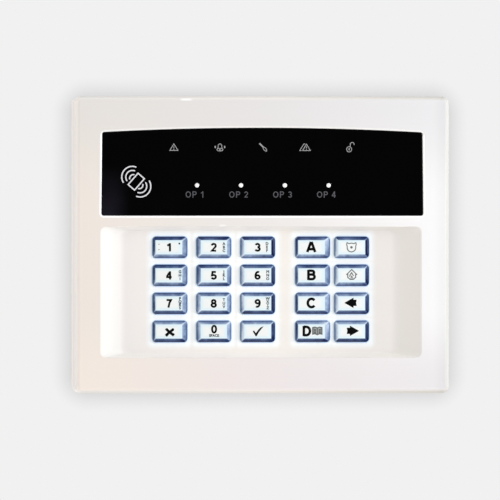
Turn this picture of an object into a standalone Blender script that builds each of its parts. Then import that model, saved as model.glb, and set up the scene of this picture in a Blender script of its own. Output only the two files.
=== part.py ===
"""Wall-mounted alarm keypad: a white two-part plastic case with a dark display window, twenty sprung
keys in a dished panel, the circuit board behind them, and the tamper plunger that feels the wall.

Sizes are in millimetres and are turned into metres when a mesh is made. X runs right, Z runs up and
the front faces -Y. The origin is the middle of the back face. "Depth" is the distance out from the
wall, so a point at depth d has y = -d.
"""

import math

import bpy
from mathutils import Matrix, Vector

MM = 0.001

# Case
CASE_WIDTH = 147.0
CASE_HEIGHT = 116.5
CASE_DEPTH = 30.0
CASE_CORNER = 2.6
WALL = 2.4
FRONT_ROUNDING = 2.0
COVER_PLATE = 2.8
BASE_PLATE = 2.5
SEAM_DEPTH = 9.3
SEAM_GAP = 0.5
LAP_HEIGHT = 2.7
LAP_INSET = 1.4
CLEARANCE = 0.3

# Display window: flat bottom, slightly tapered sides and a bowed top
WINDOW_HALF_BOTTOM = 63.25
WINDOW_HALF_TOP = 62.95
WINDOW_BOTTOM = 11.4
WINDOW_SIDE_TOP = 44.1
WINDOW_BOW = 1.7
WINDOW_CORNER = 0.9
WINDOW_LEDGE = 1.8
WINDOW_REBATE = 2.0
WINDOW_THICKNESS = 1.4
WINDOW_GAP = 0.25

# Dished key panel
RECESS_MIDDLE = -0.5
RECESS_HALF_WIDTH = 63.1
RECESS_BOTTOM = -44.4
RECESS_TOP = 7.2
RECESS_DEPTH = 3.0
RECESS_CORNER = 2.4
FLOOR_MIDDLE = -1.3
FLOOR_HALF_WIDTH = 52.3
FLOOR_BOTTOM = -42.1
FLOOR_TOP = 5.5
FLOOR_THICKNESS = 2.2

# Keys
KEY_WIDTH = 13.5
KEY_HEIGHT = 8.4
KEY_CORNER = 1.5
KEY_FACE_WIDTH = 10.7
KEY_FACE_HEIGHT = 5.6
KEY_PROUD = 1.2
KEY_BEVEL_RISE = 0.7
KEY_GAP = 0.25
KEY_TRAVEL = 1.0
FLANGE_WIDTH = 14.8
FLANGE_HEIGHT = 10.0
FLANGE_THICKNESS = 1.2
STEM_WIDTH = 8.0
STEM_HEIGHT = 4.0
NUMBER_PITCH = 17.25
LETTER_PITCH = 15.4
ROW_PITCH = 11.0
FIRST_COLUMN = -36.2
LETTER_COLUMN = 19.9
TOP_ROW = -1.0
KEY_ROWS = (
    ("key_1", "key_2", "key_3", "key_a", "key_shield"),
    ("key_4", "key_5", "key_6", "key_b", "key_house"),
    ("key_7", "key_8", "key_9", "key_c", "key_left"),
    ("key_cancel", "key_0", "key_enter", "key_d", "key_right"),
)

# Circuit board and what stands on its front
BOARD_BACK = 19.2
BOARD_FRONT = 20.8
BOARD_WIDTH = 137.6
BOARD_HEIGHT = 106.8
SOLDER = 0.15
BOSS_X = 65.5
BOSS_Z = 50.3
BOSS_RADIUS = 3.0
MAT_THICKNESS = 1.2
MAT_WIDTH = 90.0
MAT_HEIGHT = 46.0
INDICATOR_PITCH = 17.25
ICON_ROW = 38.2
FIRST_ICON = -34.2
OUTPUT_ROW = 23.3
FIRST_OUTPUT = -25.4
SHROUD_WIDTH = 82.0
SHROUD_BOTTOM = 19.5
SHROUD_TOP = 42.0

# Wall plate
FIXING_X = 42.0
FIXING_Z = 40.0
GANG_X = 30.15
SCREW_SLOT = 4.5
KEYHOLE_HEAD = 8.5
CATCH_X = 40.0
CATCH_DEPTH = 14.0
ENTRY_WIDTH = 40.0
ENTRY_HEIGHT = 18.0
ENTRY_Z = -20.0
CABLE_GROOVE_WIDTH = 12.0
CABLE_GROOVE_DEPTH = 1.0

# Tamper plunger, seated through the wall plate
TAMPER_X = 47.0
TAMPER_Z = 24.0
PLUNGER_RADIUS = 2.5
PLUNGER_FLANGE_RADIUS = 4.5
PLUNGER_FLANGE_DEPTH = 5.2
PLUNGER_TIP_DEPTH = 14.7
SWITCH_FACE = 15.6
SPRING_RADIUS = 2.4
SPRING_WIRE = 0.3
SPRING_TURNS = 5

# Wiring terminals
TERMINALS = 4
TERMINAL_PITCH = 5.08
TERMINAL_BACK = 9.0
TERMINAL_Z = -14.4
TERMINAL_HEIGHT = 8.4

# Facets along each rounded corner and round each circle
CORNER_STEPS = 3
KEY_STEPS = 2
CIRCLE_STEPS = 16

# Turns an outline's (x, z) and its section's depth into the world's axes
FACING_FRONT = Matrix(((1, 0, 0, 0), (0, 0, -1, 0), (0, 1, 0, 0), (0, 0, 0, 1)))
# The same for a piece that stands upright: its outline is (x, y), and its sections go up
FACING_UP = Matrix.Identity(4)


# ---------------------------------------------------------------- outlines


def arc(centre, radius, start, end, steps):
    """Points along an arc, in degrees anticlockwise."""
    angles = [math.radians(start + (end - start) * i / steps) for i in range(steps + 1)]
    return [(centre[0] + radius * math.cos(a), centre[1] + radius * math.sin(a)) for a in angles]


def circle(radius, centre=(0.0, 0.0), steps=CIRCLE_STEPS):
    return arc(centre, radius, 0, 360, steps)[:-1]


def rounded(width, height, corner, centre=(0.0, 0.0), steps=CORNER_STEPS):
    """A rounded rectangle, anticlockwise from its bottom right corner."""
    x = width / 2 - corner
    z = height / 2 - corner
    points = []
    for turn, (side_x, side_z) in enumerate(((1, -1), (1, 1), (-1, 1), (-1, -1))):
        middle = (centre[0] + side_x * x, centre[1] + side_z * z)
        points += arc(middle, corner, 90 * turn - 90, 90 * turn, steps)
    return points


def window(inset=0.0):
    """The display window's outline, moved inwards by inset."""
    corner = WINDOW_CORNER
    bottom_x = WINDOW_HALF_BOTTOM - inset - corner
    top_x = WINDOW_HALF_TOP - inset - corner
    low = WINDOW_BOTTOM + inset + corner
    high = WINDOW_SIDE_TOP - inset - corner
    points = arc((-bottom_x, low), corner, 180, 270, CORNER_STEPS)
    points += arc((bottom_x, low), corner, 270, 360, CORNER_STEPS)
    points += arc((top_x, high), corner, 0, 90, CORNER_STEPS)
    bow_steps = 12
    for step in range(1, bow_steps):
        x = top_x * (1 - 2 * step / bow_steps)
        points.append((x, high + corner + WINDOW_BOW * (1 - (x / top_x) ** 2)))
    return points + arc((-top_x, high), corner, 90, 180, CORNER_STEPS)


def cross(length, width):
    """A plus sign, for a screw's driver recess."""
    a = length / 2
    b = width / 2
    quarter = [(a, -b), (a, b), (b, b)]
    points = []
    for turn in range(4):
        for x, z in quarter:
            for _ in range(turn):
                x, z = -z, x
            points.append((x, z))
    return points


def toothed(width, height, reach, pins_across, pins_up, pitch, centre):
    """A rectangle with square pins standing out of its sides by reach."""
    points = []
    for side, pins in enumerate((pins_across, pins_up, pins_across, pins_up)):
        half_run = (width if side % 2 == 0 else height) / 2
        half_out = (height if side % 2 == 0 else width) / 2
        run = [(-half_run, 0.0)]
        for pin in range(pins):
            middle = (pin - (pins - 1) / 2) * pitch
            left = middle - pitch / 4
            right = middle + pitch / 4
            run += [(left, 0.0), (left, reach), (right, reach), (right, 0.0)]
        for along, out in run:
            x, z = along, -half_out - out
            for _ in range(side):
                x, z = -z, x
            points.append((centre[0] + x, centre[1] + z))
    return points


# ---------------------------------------------------------------- meshes, cuts and joins


def loft_faces(count, levels, first):
    """Quads between neighbouring sections and a cap at each end, for points numbered from first."""
    faces = []
    for level in range(levels - 1):
        for i in range(count):
            a = first + level * count + i
            b = first + level * count + (i + 1) % count
            faces.append((a, b, b + count, a + count))
    faces.append(tuple(range(first + count - 1, first - 1, -1)))
    faces.append(tuple(range(first + (levels - 1) * count, first + levels * count)))
    return faces


def loft_mesh(name, bodies, facing):
    """A mesh of closed bodies, each a list of (outline, depth) sections in order of depth."""
    points = []
    faces = []
    for sections in bodies:
        count = len(sections[0][0])
        faces += loft_faces(count, len(sections), len(points))
        for outline, depth in sections:
            points += [facing @ Vector((x, z, depth)) * MM for x, z in outline]
    mesh = bpy.data.meshes.new(name)
    mesh.from_pydata(points, [], faces)
    mesh.shade_smooth()
    mesh.set_sharp_from_angle(angle=math.radians(35))
    return mesh


def add(name, mesh, finish, at=(0.0, 0.0)):
    """Puts a mesh in the scene as the object called name, with its origin at (x, z) on the wall."""
    made = bpy.data.objects.new(name, mesh)
    made.location = (at[0] * MM, 0.0, at[1] * MM)
    bpy.context.scene.collection.objects.link(made)
    if not mesh.materials:
        mesh.materials.append(finish)
    return made


def solid(name, finish, *bodies, at=(0.0, 0.0), facing=FACING_FRONT):
    return add(name, loft_mesh(name, bodies, facing), finish, at)


def helper(name, *bodies, facing=FACING_FRONT):
    """A shape that only cuts or joins another."""
    made = bpy.data.objects.new(name, loft_mesh(name, bodies, facing))
    bpy.context.scene.collection.objects.link(made)
    made.hide_render = True
    made.display_type = "WIRE"
    return made


def combine(target, tool, operation):
    modifier = target.modifiers.new(tool.name, "BOOLEAN")
    modifier.operation = operation
    modifier.solver = "EXACT"
    modifier.object = tool


def cut(target, tool):
    combine(target, tool, "DIFFERENCE")


def join(target, tool):
    combine(target, tool, "UNION")


def straight(outline, back, front):
    return [(outline, back), (outline, front)]


def chamfered_back(width, height, corner, back, front, chamfer, centre=(0.0, 0.0)):
    """A block whose wall side has its edges taken off."""
    small = rounded(width - 2 * chamfer, height - 2 * chamfer, corner, centre)
    full = rounded(width, height, corner, centre)
    return [(small, back), (full, back + chamfer), (full, front)]


def material(name, colour, roughness, metallic=0.0):
    made = bpy.data.materials.new(name)
    made.use_nodes = True
    shader = made.node_tree.nodes["Principled BSDF"]
    shader.inputs["Base Color"].default_value = (*colour, 1.0)
    shader.inputs["Roughness"].default_value = roughness
    shader.inputs["Metallic"].default_value = metallic
    made.diffuse_color = (*colour, 1.0)
    return made


# ---------------------------------------------------------------- case


def case_outline(inset=0.0):
    corner = max(CASE_CORNER - inset, 0.4)
    return rounded(CASE_WIDTH - 2 * inset, CASE_HEIGHT - 2 * inset, corner)


def recess_outline(grow=0.0):
    middle = (RECESS_MIDDLE, (RECESS_TOP + RECESS_BOTTOM) / 2)
    height = RECESS_TOP - RECESS_BOTTOM
    return rounded(2 * (RECESS_HALF_WIDTH + grow), height + 2 * grow, RECESS_CORNER, middle)


def floor_outline(grow=0.0):
    middle = (FLOOR_MIDDLE, (FLOOR_TOP + FLOOR_BOTTOM) / 2)
    height = FLOOR_TOP - FLOOR_BOTTOM
    return rounded(2 * (FLOOR_HALF_WIDTH + grow), height + 2 * grow, RECESS_CORNER, middle)


def cover_outside():
    sections = [(case_outline(), SEAM_DEPTH + SEAM_GAP)]
    rounding_steps = 4
    for step in range(rounding_steps + 1):
        angle = math.radians(90 * step / rounding_steps)
        inset = FRONT_ROUNDING * (1 - math.cos(angle))
        depth = CASE_DEPTH - FRONT_ROUNDING * (1 - math.sin(angle))
        sections.append((case_outline(inset), depth))
    return sections


def cover_hollow():
    """The space inside the cover, less the key panel's pan and the board bosses that stay solid."""
    lap_top = SEAM_DEPTH + LAP_HEIGHT + CLEARANCE
    lap = case_outline(LAP_INSET - CLEARANCE)
    inside = case_outline(WALL)
    roof = CASE_DEPTH - COVER_PLATE
    hollow = helper("cover_hollow", [(lap, SEAM_DEPTH - 1), (lap, lap_top), (inside, lap_top), (inside, roof)])
    pan_depth = CASE_DEPTH - RECESS_DEPTH - FLOOR_THICKNESS
    pan = [(floor_outline(1.2), pan_depth), (recess_outline(1.2), pan_depth + RECESS_DEPTH)]
    bosses = [
        straight(circle(BOSS_RADIUS, (side * BOSS_X, end * BOSS_Z)), BOARD_FRONT + CLEARANCE, CASE_DEPTH - 1)
        for side in (-1, 1)
        for end in (-1, 1)
    ]
    cut(hollow, helper("cover_kept", pan, *bosses))
    return hollow


def key_places():
    """Each key's name and centre."""
    columns = [FIRST_COLUMN + NUMBER_PITCH * i for i in range(3)]
    columns += [LETTER_COLUMN, LETTER_COLUMN + LETTER_PITCH]
    for row, names in enumerate(KEY_ROWS):
        for name, x in zip(names, columns):
            yield name, (x, TOP_ROW - ROW_PITCH * row)


def front_cover(finish):
    cover = solid("front_cover", finish, cover_outside())
    cut(cover, cover_hollow())

    above = CASE_DEPTH + 1
    ledge = window(WINDOW_LEDGE)
    opening = window(-WINDOW_GAP)
    ledge_depth = CASE_DEPTH - WINDOW_REBATE
    window_cut = [(ledge, ledge_depth - 2), (ledge, ledge_depth), (opening, ledge_depth), (opening, above)]
    recess_cut = [
        (floor_outline(), CASE_DEPTH - RECESS_DEPTH),
        (recess_outline(), CASE_DEPTH),
        (recess_outline(), above),
    ]
    cut(cover, helper("cover_openings", window_cut, recess_cut))

    width = KEY_WIDTH + 2 * KEY_GAP
    height = KEY_HEIGHT + 2 * KEY_GAP
    holes = [
        straight(rounded(width, height, KEY_CORNER + KEY_GAP, place, KEY_STEPS), 24, 28)
        for _, place in key_places()
    ]
    pilot_radius = 1.1
    holes += [
        straight(circle(pilot_radius, (side * BOSS_X, end * BOSS_Z), 12), BOARD_FRONT - 1, CASE_DEPTH - 4)
        for side in (-1, 1)
        for end in (-1, 1)
    ]
    cut(cover, helper("cover_holes", *holes))

    bottom = -CASE_HEIGHT / 2
    head = [circle(3.1, (side * CATCH_X, -CATCH_DEPTH)) for side in (-1, 1)]
    shank = [circle(1.6, (side * CATCH_X, -CATCH_DEPTH)) for side in (-1, 1)]
    screw_cuts = [
        [(head[i], bottom - 1), (head[i], bottom + 1.3), (shank[i], bottom + 1.3), (shank[i], bottom + 3.2)]
        for i in range(2)
    ]
    cut(cover, helper("cover_screw_holes", *screw_cuts, facing=FACING_UP))

    pockets = [
        straight(rounded(11.2, 2.2, 0.3, (side * CATCH_X, CASE_HEIGHT / 2 - 2.15)), 13.7, 16.3)
        for side in (-1, 1)
    ]
    cut(cover, helper("cover_hook_pockets", *pockets))
    return cover


def rear_posts():
    """What stands up from the wall plate: screw lugs, hooks, the tamper guide and the cable entry's rim."""
    inside = CASE_HEIGHT / 2 - WALL
    root = BASE_PLATE - 1
    rim = rounded(ENTRY_WIDTH + 4, ENTRY_HEIGHT + 4, 2, (0.0, ENTRY_Z))
    posts = [straight(rim, root, BASE_PLATE + 2)]
    posts.append(straight(circle(5.7, (TAMPER_X, TAMPER_Z)), root, BASE_PLATE + 5.5))
    for side in (-1, 1):
        lug_middle = (side * CATCH_X, -inside + CLEARANCE + 3.8)
        posts.append(straight(rounded(8, 7.6, 0.8, lug_middle), root, CATCH_DEPTH + 4))
        hook_root = rounded(10, 3, 0.3, (side * CATCH_X, inside - 1.8))
        hook_lip = rounded(9.6, 4, 0.3, (side * CATCH_X, inside - 1.1))
        hook_tip = rounded(9.2, 3.2, 0.3, (side * CATCH_X, inside - 1.3))
        posts.append([(hook_root, root), (hook_root, 14), (hook_lip, 14), (hook_lip, 14.6), (hook_tip, 15.8)])
    return helper("rear_posts", *posts)


def rear_case(finish):
    lap = case_outline(LAP_INSET)
    outside = [(case_outline(0.6), 0), (case_outline(), 0.6), (case_outline(), SEAM_DEPTH)]
    outside += [(lap, SEAM_DEPTH), (lap, SEAM_DEPTH + LAP_HEIGHT)]
    case = solid("rear_case", finish, outside)
    cut(case, helper("rear_hollow", straight(case_outline(WALL), BASE_PLATE, 20)))
    join(case, rear_posts())

    below = -1
    above = BASE_PLATE + 3.5
    slot = SCREW_SLOT
    holes = [straight(rounded(ENTRY_WIDTH, ENTRY_HEIGHT, 1.5, (0.0, ENTRY_Z)), below, above)]
    holes.append(straight(circle(PLUNGER_RADIUS + CLEARANCE, (TAMPER_X, TAMPER_Z)), below, above))
    grooves = [straight(rounded(CABLE_GROOVE_WIDTH, 34, 1, (0.0, -44)), below, CABLE_GROOVE_DEPTH)]
    grooves.append(straight(circle(PLUNGER_FLANGE_RADIUS + CLEARANCE, (TAMPER_X, TAMPER_Z)), 2.4, 9))
    for side in (-1, 1):
        x = side * FIXING_X
        holes.append(straight(circle(KEYHOLE_HEAD / 2, (x, FIXING_Z - 5)), below, above))
        grooves.append(straight(rounded(slot, 10, slot / 2 - 0.01, (x, FIXING_Z - 2.75)), below, above))
        holes.append(straight(rounded(slot, 9, slot / 2 - 0.01, (x, -FIXING_Z)), below, above))
        holes.append(straight(rounded(8, slot, slot / 2 - 0.01, (side * GANG_X, 0)), below, above))
    cut(case, helper("rear_holes", *holes))
    cut(case, helper("rear_grooves", *grooves))

    bottom = -CASE_HEIGHT / 2
    pilots = [
        straight(circle(1.2, (side * CATCH_X, -CATCH_DEPTH), 12), bottom + 2, bottom + 9.5)
        for side in (-1, 1)
    ]
    cut(case, helper("rear_pilots", *pilots, facing=FACING_UP))
    return case


def display_window(finish):
    back = CASE_DEPTH - WINDOW_REBATE + 0.2
    front = back + WINDOW_THICKNESS
    solid("display_window", finish, [(window(), back), (window(), front - 0.25), (window(0.25), front)])


def cover_screws(finish):
    """Two pan-head screws that come up through the bottom wall into the rear case's lugs."""
    bottom = -CASE_HEIGHT / 2
    for side, name in ((-1, "cover_screw_left"), (1, "cover_screw_right")):
        centre = (side * CATCH_X, -CATCH_DEPTH)
        head_edge = circle(2.3, centre)
        head = circle(2.75, centre)
        shank = circle(1.05, centre)
        body = [(head_edge, bottom + 0.05), (head, bottom + 0.35), (head, bottom + 1.05)]
        body += [(shank, bottom + 1.05), (shank, bottom + 8.5)]
        screw = solid(name, finish, body, facing=FACING_UP)
        recess = [(x + centre[0], y + centre[1]) for x, y in cross(3.0, 0.7)]
        cut(screw, helper(name + "_recess", straight(recess, bottom - 1, bottom + 0.6), facing=FACING_UP))


# ---------------------------------------------------------------- keys


def key_mesh():
    """One key: a stem, a flange that stops under the panel, and the bevelled cap."""
    floor = CASE_DEPTH - RECESS_DEPTH
    flange_front = floor - FLOOR_THICKNESS - 0.2
    flange_back = flange_front - FLANGE_THICKNESS
    stem_end = BOARD_FRONT + KEY_TRAVEL + 0.1
    face = floor + KEY_PROUD
    stem = rounded(STEM_WIDTH, STEM_HEIGHT, 0.8, steps=KEY_STEPS)
    flange = rounded(FLANGE_WIDTH, FLANGE_HEIGHT, 1.8, steps=KEY_STEPS)
    cap = rounded(KEY_WIDTH, KEY_HEIGHT, KEY_CORNER, steps=KEY_STEPS)
    top = rounded(KEY_FACE_WIDTH, KEY_FACE_HEIGHT, 0.9, steps=KEY_STEPS)
    sections = [(stem, stem_end), (stem, flange_back), (flange, flange_back), (flange, flange_front)]
    sections += [(cap, flange_front), (cap, face - KEY_BEVEL_RISE), (top, face)]
    return loft_mesh("key", [sections], FACING_FRONT)


def keys(finish):
    mesh = key_mesh()
    for name, place in key_places():
        add(name, mesh, finish, place)


def backlight_places():
    """Between the number block and the letter block, level with the gaps between rows."""
    x = (FIRST_COLUMN + 2 * NUMBER_PITCH + LETTER_COLUMN) / 2
    return [(x, TOP_ROW - ROW_PITCH * (row + 0.5)) for row in range(3)]


def keypad_mat(finish):
    back = BOARD_FRONT + 0.2
    front = back + MAT_THICKNESS
    middle = (0.0, TOP_ROW - 1.5 * ROW_PITCH)
    mat = solid("keypad_mat", finish, straight(rounded(MAT_WIDTH, MAT_HEIGHT, 2, middle), back, front))
    holes = [
        straight(rounded(STEM_WIDTH + 0.6, STEM_HEIGHT + 0.6, 0.6, place, 1), back - 1, front + 1)
        for _, place in key_places()
    ]
    holes += [straight(circle(2.6, place, 8), back - 1, front + 1) for place in backlight_places()]
    cut(mat, helper("mat_holes", *holes))


# ---------------------------------------------------------------- circuit board


def main_board(finish):
    board = solid("main_board", finish, straight(rounded(BOARD_WIDTH, BOARD_HEIGHT, 1.5), BOARD_BACK, BOARD_FRONT))
    holes = [
        straight(circle(1.6, (side * BOSS_X, end * BOSS_Z), 12), BOARD_BACK - 1, BOARD_FRONT + 1)
        for side in (-1, 1)
        for end in (-1, 1)
    ]
    cut(board, helper("board_holes", *holes))


def board_screws(finish):
    head_back = BOARD_BACK - 1.7
    head_front = BOARD_BACK - SOLDER
    body = [(circle(2.0), head_back), (circle(2.5), head_back + 0.4), (circle(2.5), head_front)]
    body += [(circle(0.95), head_front), (circle(0.95), BOARD_FRONT + 4.5)]
    recess = straight(cross(3.0, 0.7), head_back - 1, head_back + 0.9)
    for number, (side, end) in enumerate(((-1, 1), (1, 1), (-1, -1), (1, -1)), start=1):
        place = (side * BOSS_X, end * BOSS_Z)
        screw = solid(f"board_screw_{number}", finish, body, at=place)
        tool = helper(f"board_screw_recess_{number}", recess)
        tool.location = screw.location
        cut(screw, tool)


def indicator_places():
    icons = [(FIRST_ICON + INDICATOR_PITCH * i, ICON_ROW) for i in range(5)]
    outputs = [(FIRST_OUTPUT + INDICATOR_PITCH * i, OUTPUT_ROW) for i in range(4)]
    return icons, outputs


def lights(finish):
    """Surface-mounted LEDs: a square body with a shallow dome, all alike."""
    base = BOARD_FRONT + SOLDER
    dome = [(circle(1.4, steps=12), base), (circle(1.4, steps=12), base + 0.6), (circle(0.8, steps=12), base + 1.0)]
    icons, outputs = indicator_places()
    groups = (("led_icon", icons), ("led_output", outputs), ("led_backlight", backlight_places()))
    mesh = loft_mesh("led", [dome], FACING_FRONT)
    for group, places in groups:
        for number, place in enumerate(places, start=1):
            add(f"{group}_{number}", mesh, finish, place)


def led_shroud(finish):
    """A dark block with one cell for each indicator, from the board to just behind the window."""
    back = BOARD_FRONT + CLEARANCE
    front = CASE_DEPTH - WINDOW_REBATE - 0.1
    middle = (0.0, (SHROUD_BOTTOM + SHROUD_TOP) / 2)
    block = straight(rounded(SHROUD_WIDTH, SHROUD_TOP - SHROUD_BOTTOM, 1, middle), back, front)
    shroud = solid("led_shroud", finish, block)
    icons, outputs = indicator_places()
    cells = [straight(rounded(9, 5.4, 0.8, place, KEY_STEPS), back - 1, front + 1) for place in icons]
    cells += [straight(circle(2.4, place, 12), back - 1, front + 1) for place in outputs]
    cut(shroud, helper("shroud_cells", *cells))


def leaded_chip(name, finish, place, size, pins, pitch=1.27, height=1.6):
    """A chip soldered to the board's back, with pins along its sides."""
    front = BOARD_BACK - SOLDER
    width, length = size
    body = chamfered_back(width, length, 0.3, front - height, front - 0.1, 0.25, place)
    chip = solid(name, finish, body)
    pin_outline = toothed(width - 0.4, length - 0.4, 1.0, pins[0], pins[1], pitch, place)
    join(chip, helper(name + "_pins", straight(pin_outline, front - 0.4, front)))
    dot = (place[0] - width / 2 + 1.2, place[1] + length / 2 - 1.2)
    cut(chip, helper(name + "_mark", straight(circle(0.5, dot, 8), front - height - 1, front - height + 0.2)))


def chips(finish):
    leaded_chip("microcontroller", finish, (12.0, 20.0), (12.0, 12.0), (7, 7))
    leaded_chip("reader_chip", finish, (-20.0, 20.0), (7.0, 7.0), (4, 4))
    leaded_chip("bus_driver", finish, (24.0, -2.0), (5.0, 4.0), (4, 0))
    leaded_chip("voltage_regulator", finish, (36.0, -18.0), (6.6, 6.2), (2, 0), 4.5, 2.3)


def capacitor(finish):
    centre = (34.0, -34.0)
    base = BOARD_BACK - SOLDER
    can = [(3.4, base - 10.0), (3.9, base - 9.6), (4.0, base - 9.2), (4.0, base - 2.4)]
    can += [(3.7, base - 2.1), (3.7, base - 1.8), (4.0, base - 1.5), (4.0, base)]
    solid("capacitor", finish, [(circle(radius, centre), depth) for radius, depth in can])


def sounder(finish):
    centre = (-45.0, -22.0)
    base = BOARD_BACK - SOLDER
    drum = [(9.4, base - 5.6), (10.0, base - 5.0), (10.0, base - 0.8), (9.6, base)]
    made = solid("sounder", finish, [(circle(radius, centre, 28), depth) for radius, depth in drum])
    cut(made, helper("sounder_port", straight(circle(1.5, centre, 12), base - 7, base - 3)))


def proximity_coil(finish):
    """The reader's flat winding, behind the left end of the window."""
    centre = (-49.0, 25.0)
    base = BOARD_BACK - SOLDER
    steps = 5
    outer = rounded(33, 28, 8, centre, steps)
    outer_edge = rounded(32, 27, 7.5, centre, steps)
    coil = solid("proximity_coil", finish, [(outer_edge, base - 2.2), (outer, base - 1.7), (outer, base)])
    cut(coil, helper("coil_bore", straight(rounded(27, 22, 5, centre, steps), base - 4, base + 1)))


def terminal_places():
    return [(TERMINAL_PITCH * (i - (TERMINALS - 1) / 2), TERMINAL_Z) for i in range(TERMINALS)]


def terminal_block(finish):
    """Four clamps side by side: a screw well on the back of each and a wire entry underneath."""
    width = TERMINALS * TERMINAL_PITCH + 0.6
    front = BOARD_BACK - SOLDER
    body = chamfered_back(width, TERMINAL_HEIGHT, 0.3, TERMINAL_BACK, front, 1.0, (0.0, TERMINAL_Z))
    block = solid("terminal_block", finish, body)
    wells = [straight(circle(2.1, place, 16), TERMINAL_BACK - 1, TERMINAL_BACK + 2.4) for place in terminal_places()]
    cut(block, helper("terminal_wells", *wells))
    low = TERMINAL_Z - TERMINAL_HEIGHT / 2
    entries = [straight(rounded(3.4, 3.2, 0.3, (x, -15.0)), low - 1, low + 5.0) for x, _ in terminal_places()]
    cut(block, helper("terminal_entries", *entries, facing=FACING_UP))


def terminal_screws(finish):
    back = TERMINAL_BACK + 0.3
    body = [(circle(1.6, steps=16), back), (circle(1.8, steps=16), back + 0.2), (circle(1.8, steps=16), back + 1.8)]
    slot = straight(rounded(5.0, 0.7, 0.05), back - 1, back + 0.7)
    for number, place in enumerate(terminal_places(), start=1):
        screw = solid(f"terminal_screw_{number}", finish, body, at=place)
        tool = helper(f"terminal_screw_slot_{number}", slot)
        tool.location = screw.location
        cut(screw, tool)


# ---------------------------------------------------------------- tamper parts


def tamper_switch(finish):
    centre = (TAMPER_X, TAMPER_Z)
    base = BOARD_BACK - SOLDER
    body = chamfered_back(6.2, 6.2, 0.4, SWITCH_FACE, base, 0.3, centre)
    switch = solid("tamper_switch", finish, body)
    join(switch, helper("switch_button", straight(circle(1.5, centre, 16), SWITCH_FACE - 0.6, SWITCH_FACE + 1)))


def tamper_plunger(finish):
    """Held flush with the back face by the wall, and pushed out by its spring when the panel is lifted off."""
    profile = [(2.0, 0.05), (PLUNGER_RADIUS, 0.55), (PLUNGER_RADIUS, PLUNGER_FLANGE_DEPTH)]
    flange_top = PLUNGER_FLANGE_DEPTH + 1.2
    profile += [(PLUNGER_FLANGE_RADIUS, PLUNGER_FLANGE_DEPTH), (PLUNGER_FLANGE_RADIUS, flange_top)]
    profile += [(1.5, flange_top), (1.5, PLUNGER_TIP_DEPTH - 0.4), (1.1, PLUNGER_TIP_DEPTH)]
    body = [(circle(radius), depth) for radius, depth in profile]
    solid("tamper_plunger", finish, body, at=(TAMPER_X, TAMPER_Z))


def spring_mesh():
    """A wire wound between the plunger's flange and the switch."""
    start = PLUNGER_FLANGE_DEPTH + 1.2 + 0.2 + SPRING_WIRE
    end = SWITCH_FACE - 0.2 - SPRING_WIRE
    steps_per_turn = 10
    steps = SPRING_TURNS * steps_per_turn
    sides = 6
    points = []
    for step in range(steps + 1):
        turn = math.tau * step / steps_per_turn
        depth = start + (end - start) * step / steps
        for side in range(sides):
            around = math.tau * side / sides
            radius = SPRING_RADIUS + SPRING_WIRE * math.cos(around)
            lift = SPRING_WIRE * math.sin(around)
            point = (radius * math.cos(turn), -(depth + lift), radius * math.sin(turn))
            points.append([value * MM for value in point])
    faces = []
    for step in range(steps):
        for side in range(sides):
            a = step * sides + side
            b = step * sides + (side + 1) % sides
            faces.append((a, a + sides, b + sides, b))
    faces.append(tuple(range(sides)))
    faces.append(tuple(range(len(points) - 1, len(points) - sides - 1, -1)))
    mesh = bpy.data.meshes.new("spring")
    mesh.from_pydata(points, [], faces)
    mesh.shade_smooth()
    return mesh


def main():
    for old in list(bpy.data.objects):
        bpy.data.objects.remove(old)

    white = material("case_white", (0.86, 0.85, 0.83), 0.35)
    rear_white = material("rear_white", (0.80, 0.79, 0.76), 0.45)
    black_gloss = material("window_black", (0.012, 0.012, 0.016), 0.06)
    key_clear = material("key_clear", (0.72, 0.82, 0.95), 0.30)
    silicone = material("mat_silicone", (0.70, 0.74, 0.78), 0.60)
    board_green = material("board_green", (0.03, 0.20, 0.09), 0.40)
    chip_black = material("chip_black", (0.03, 0.03, 0.03), 0.50)
    shroud_black = material("shroud_black", (0.02, 0.02, 0.02), 0.60)
    terminal_green = material("terminal_green", (0.05, 0.35, 0.15), 0.45)
    led_clear = material("led_clear", (0.90, 0.90, 0.80), 0.20)
    copper = material("copper", (0.72, 0.35, 0.16), 0.30, 1.0)
    steel = material("steel", (0.62, 0.62, 0.62), 0.30, 1.0)
    plunger_grey = material("plunger_grey", (0.55, 0.55, 0.55), 0.45)

    front_cover(white)
    rear_case(rear_white)
    display_window(black_gloss)
    cover_screws(steel)
    keys(key_clear)
    keypad_mat(silicone)
    main_board(board_green)
    board_screws(steel)
    lights(led_clear)
    led_shroud(shroud_black)
    chips(chip_black)
    capacitor(steel)
    sounder(chip_black)
    proximity_coil(copper)
    terminal_block(terminal_green)
    terminal_screws(steel)
    tamper_switch(chip_black)
    tamper_plunger(plunger_grey)
    add("tamper_spring", spring_mesh(), steel, (TAMPER_X, TAMPER_Z))


main()
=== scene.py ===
"""The looks of a wall-mounted alarm keypad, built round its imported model.

X runs right, Z runs up, the front faces -Y and the wall is the plane y = 0. Outlines are (x, z) in
millimetres and "depth" is the distance out from the wall, so a point at depth d has y = -d. Places and
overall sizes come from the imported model; the constants below are its smaller driving sizes.
"""

import math

import bpy
from mathutils import Matrix, Vector


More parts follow.
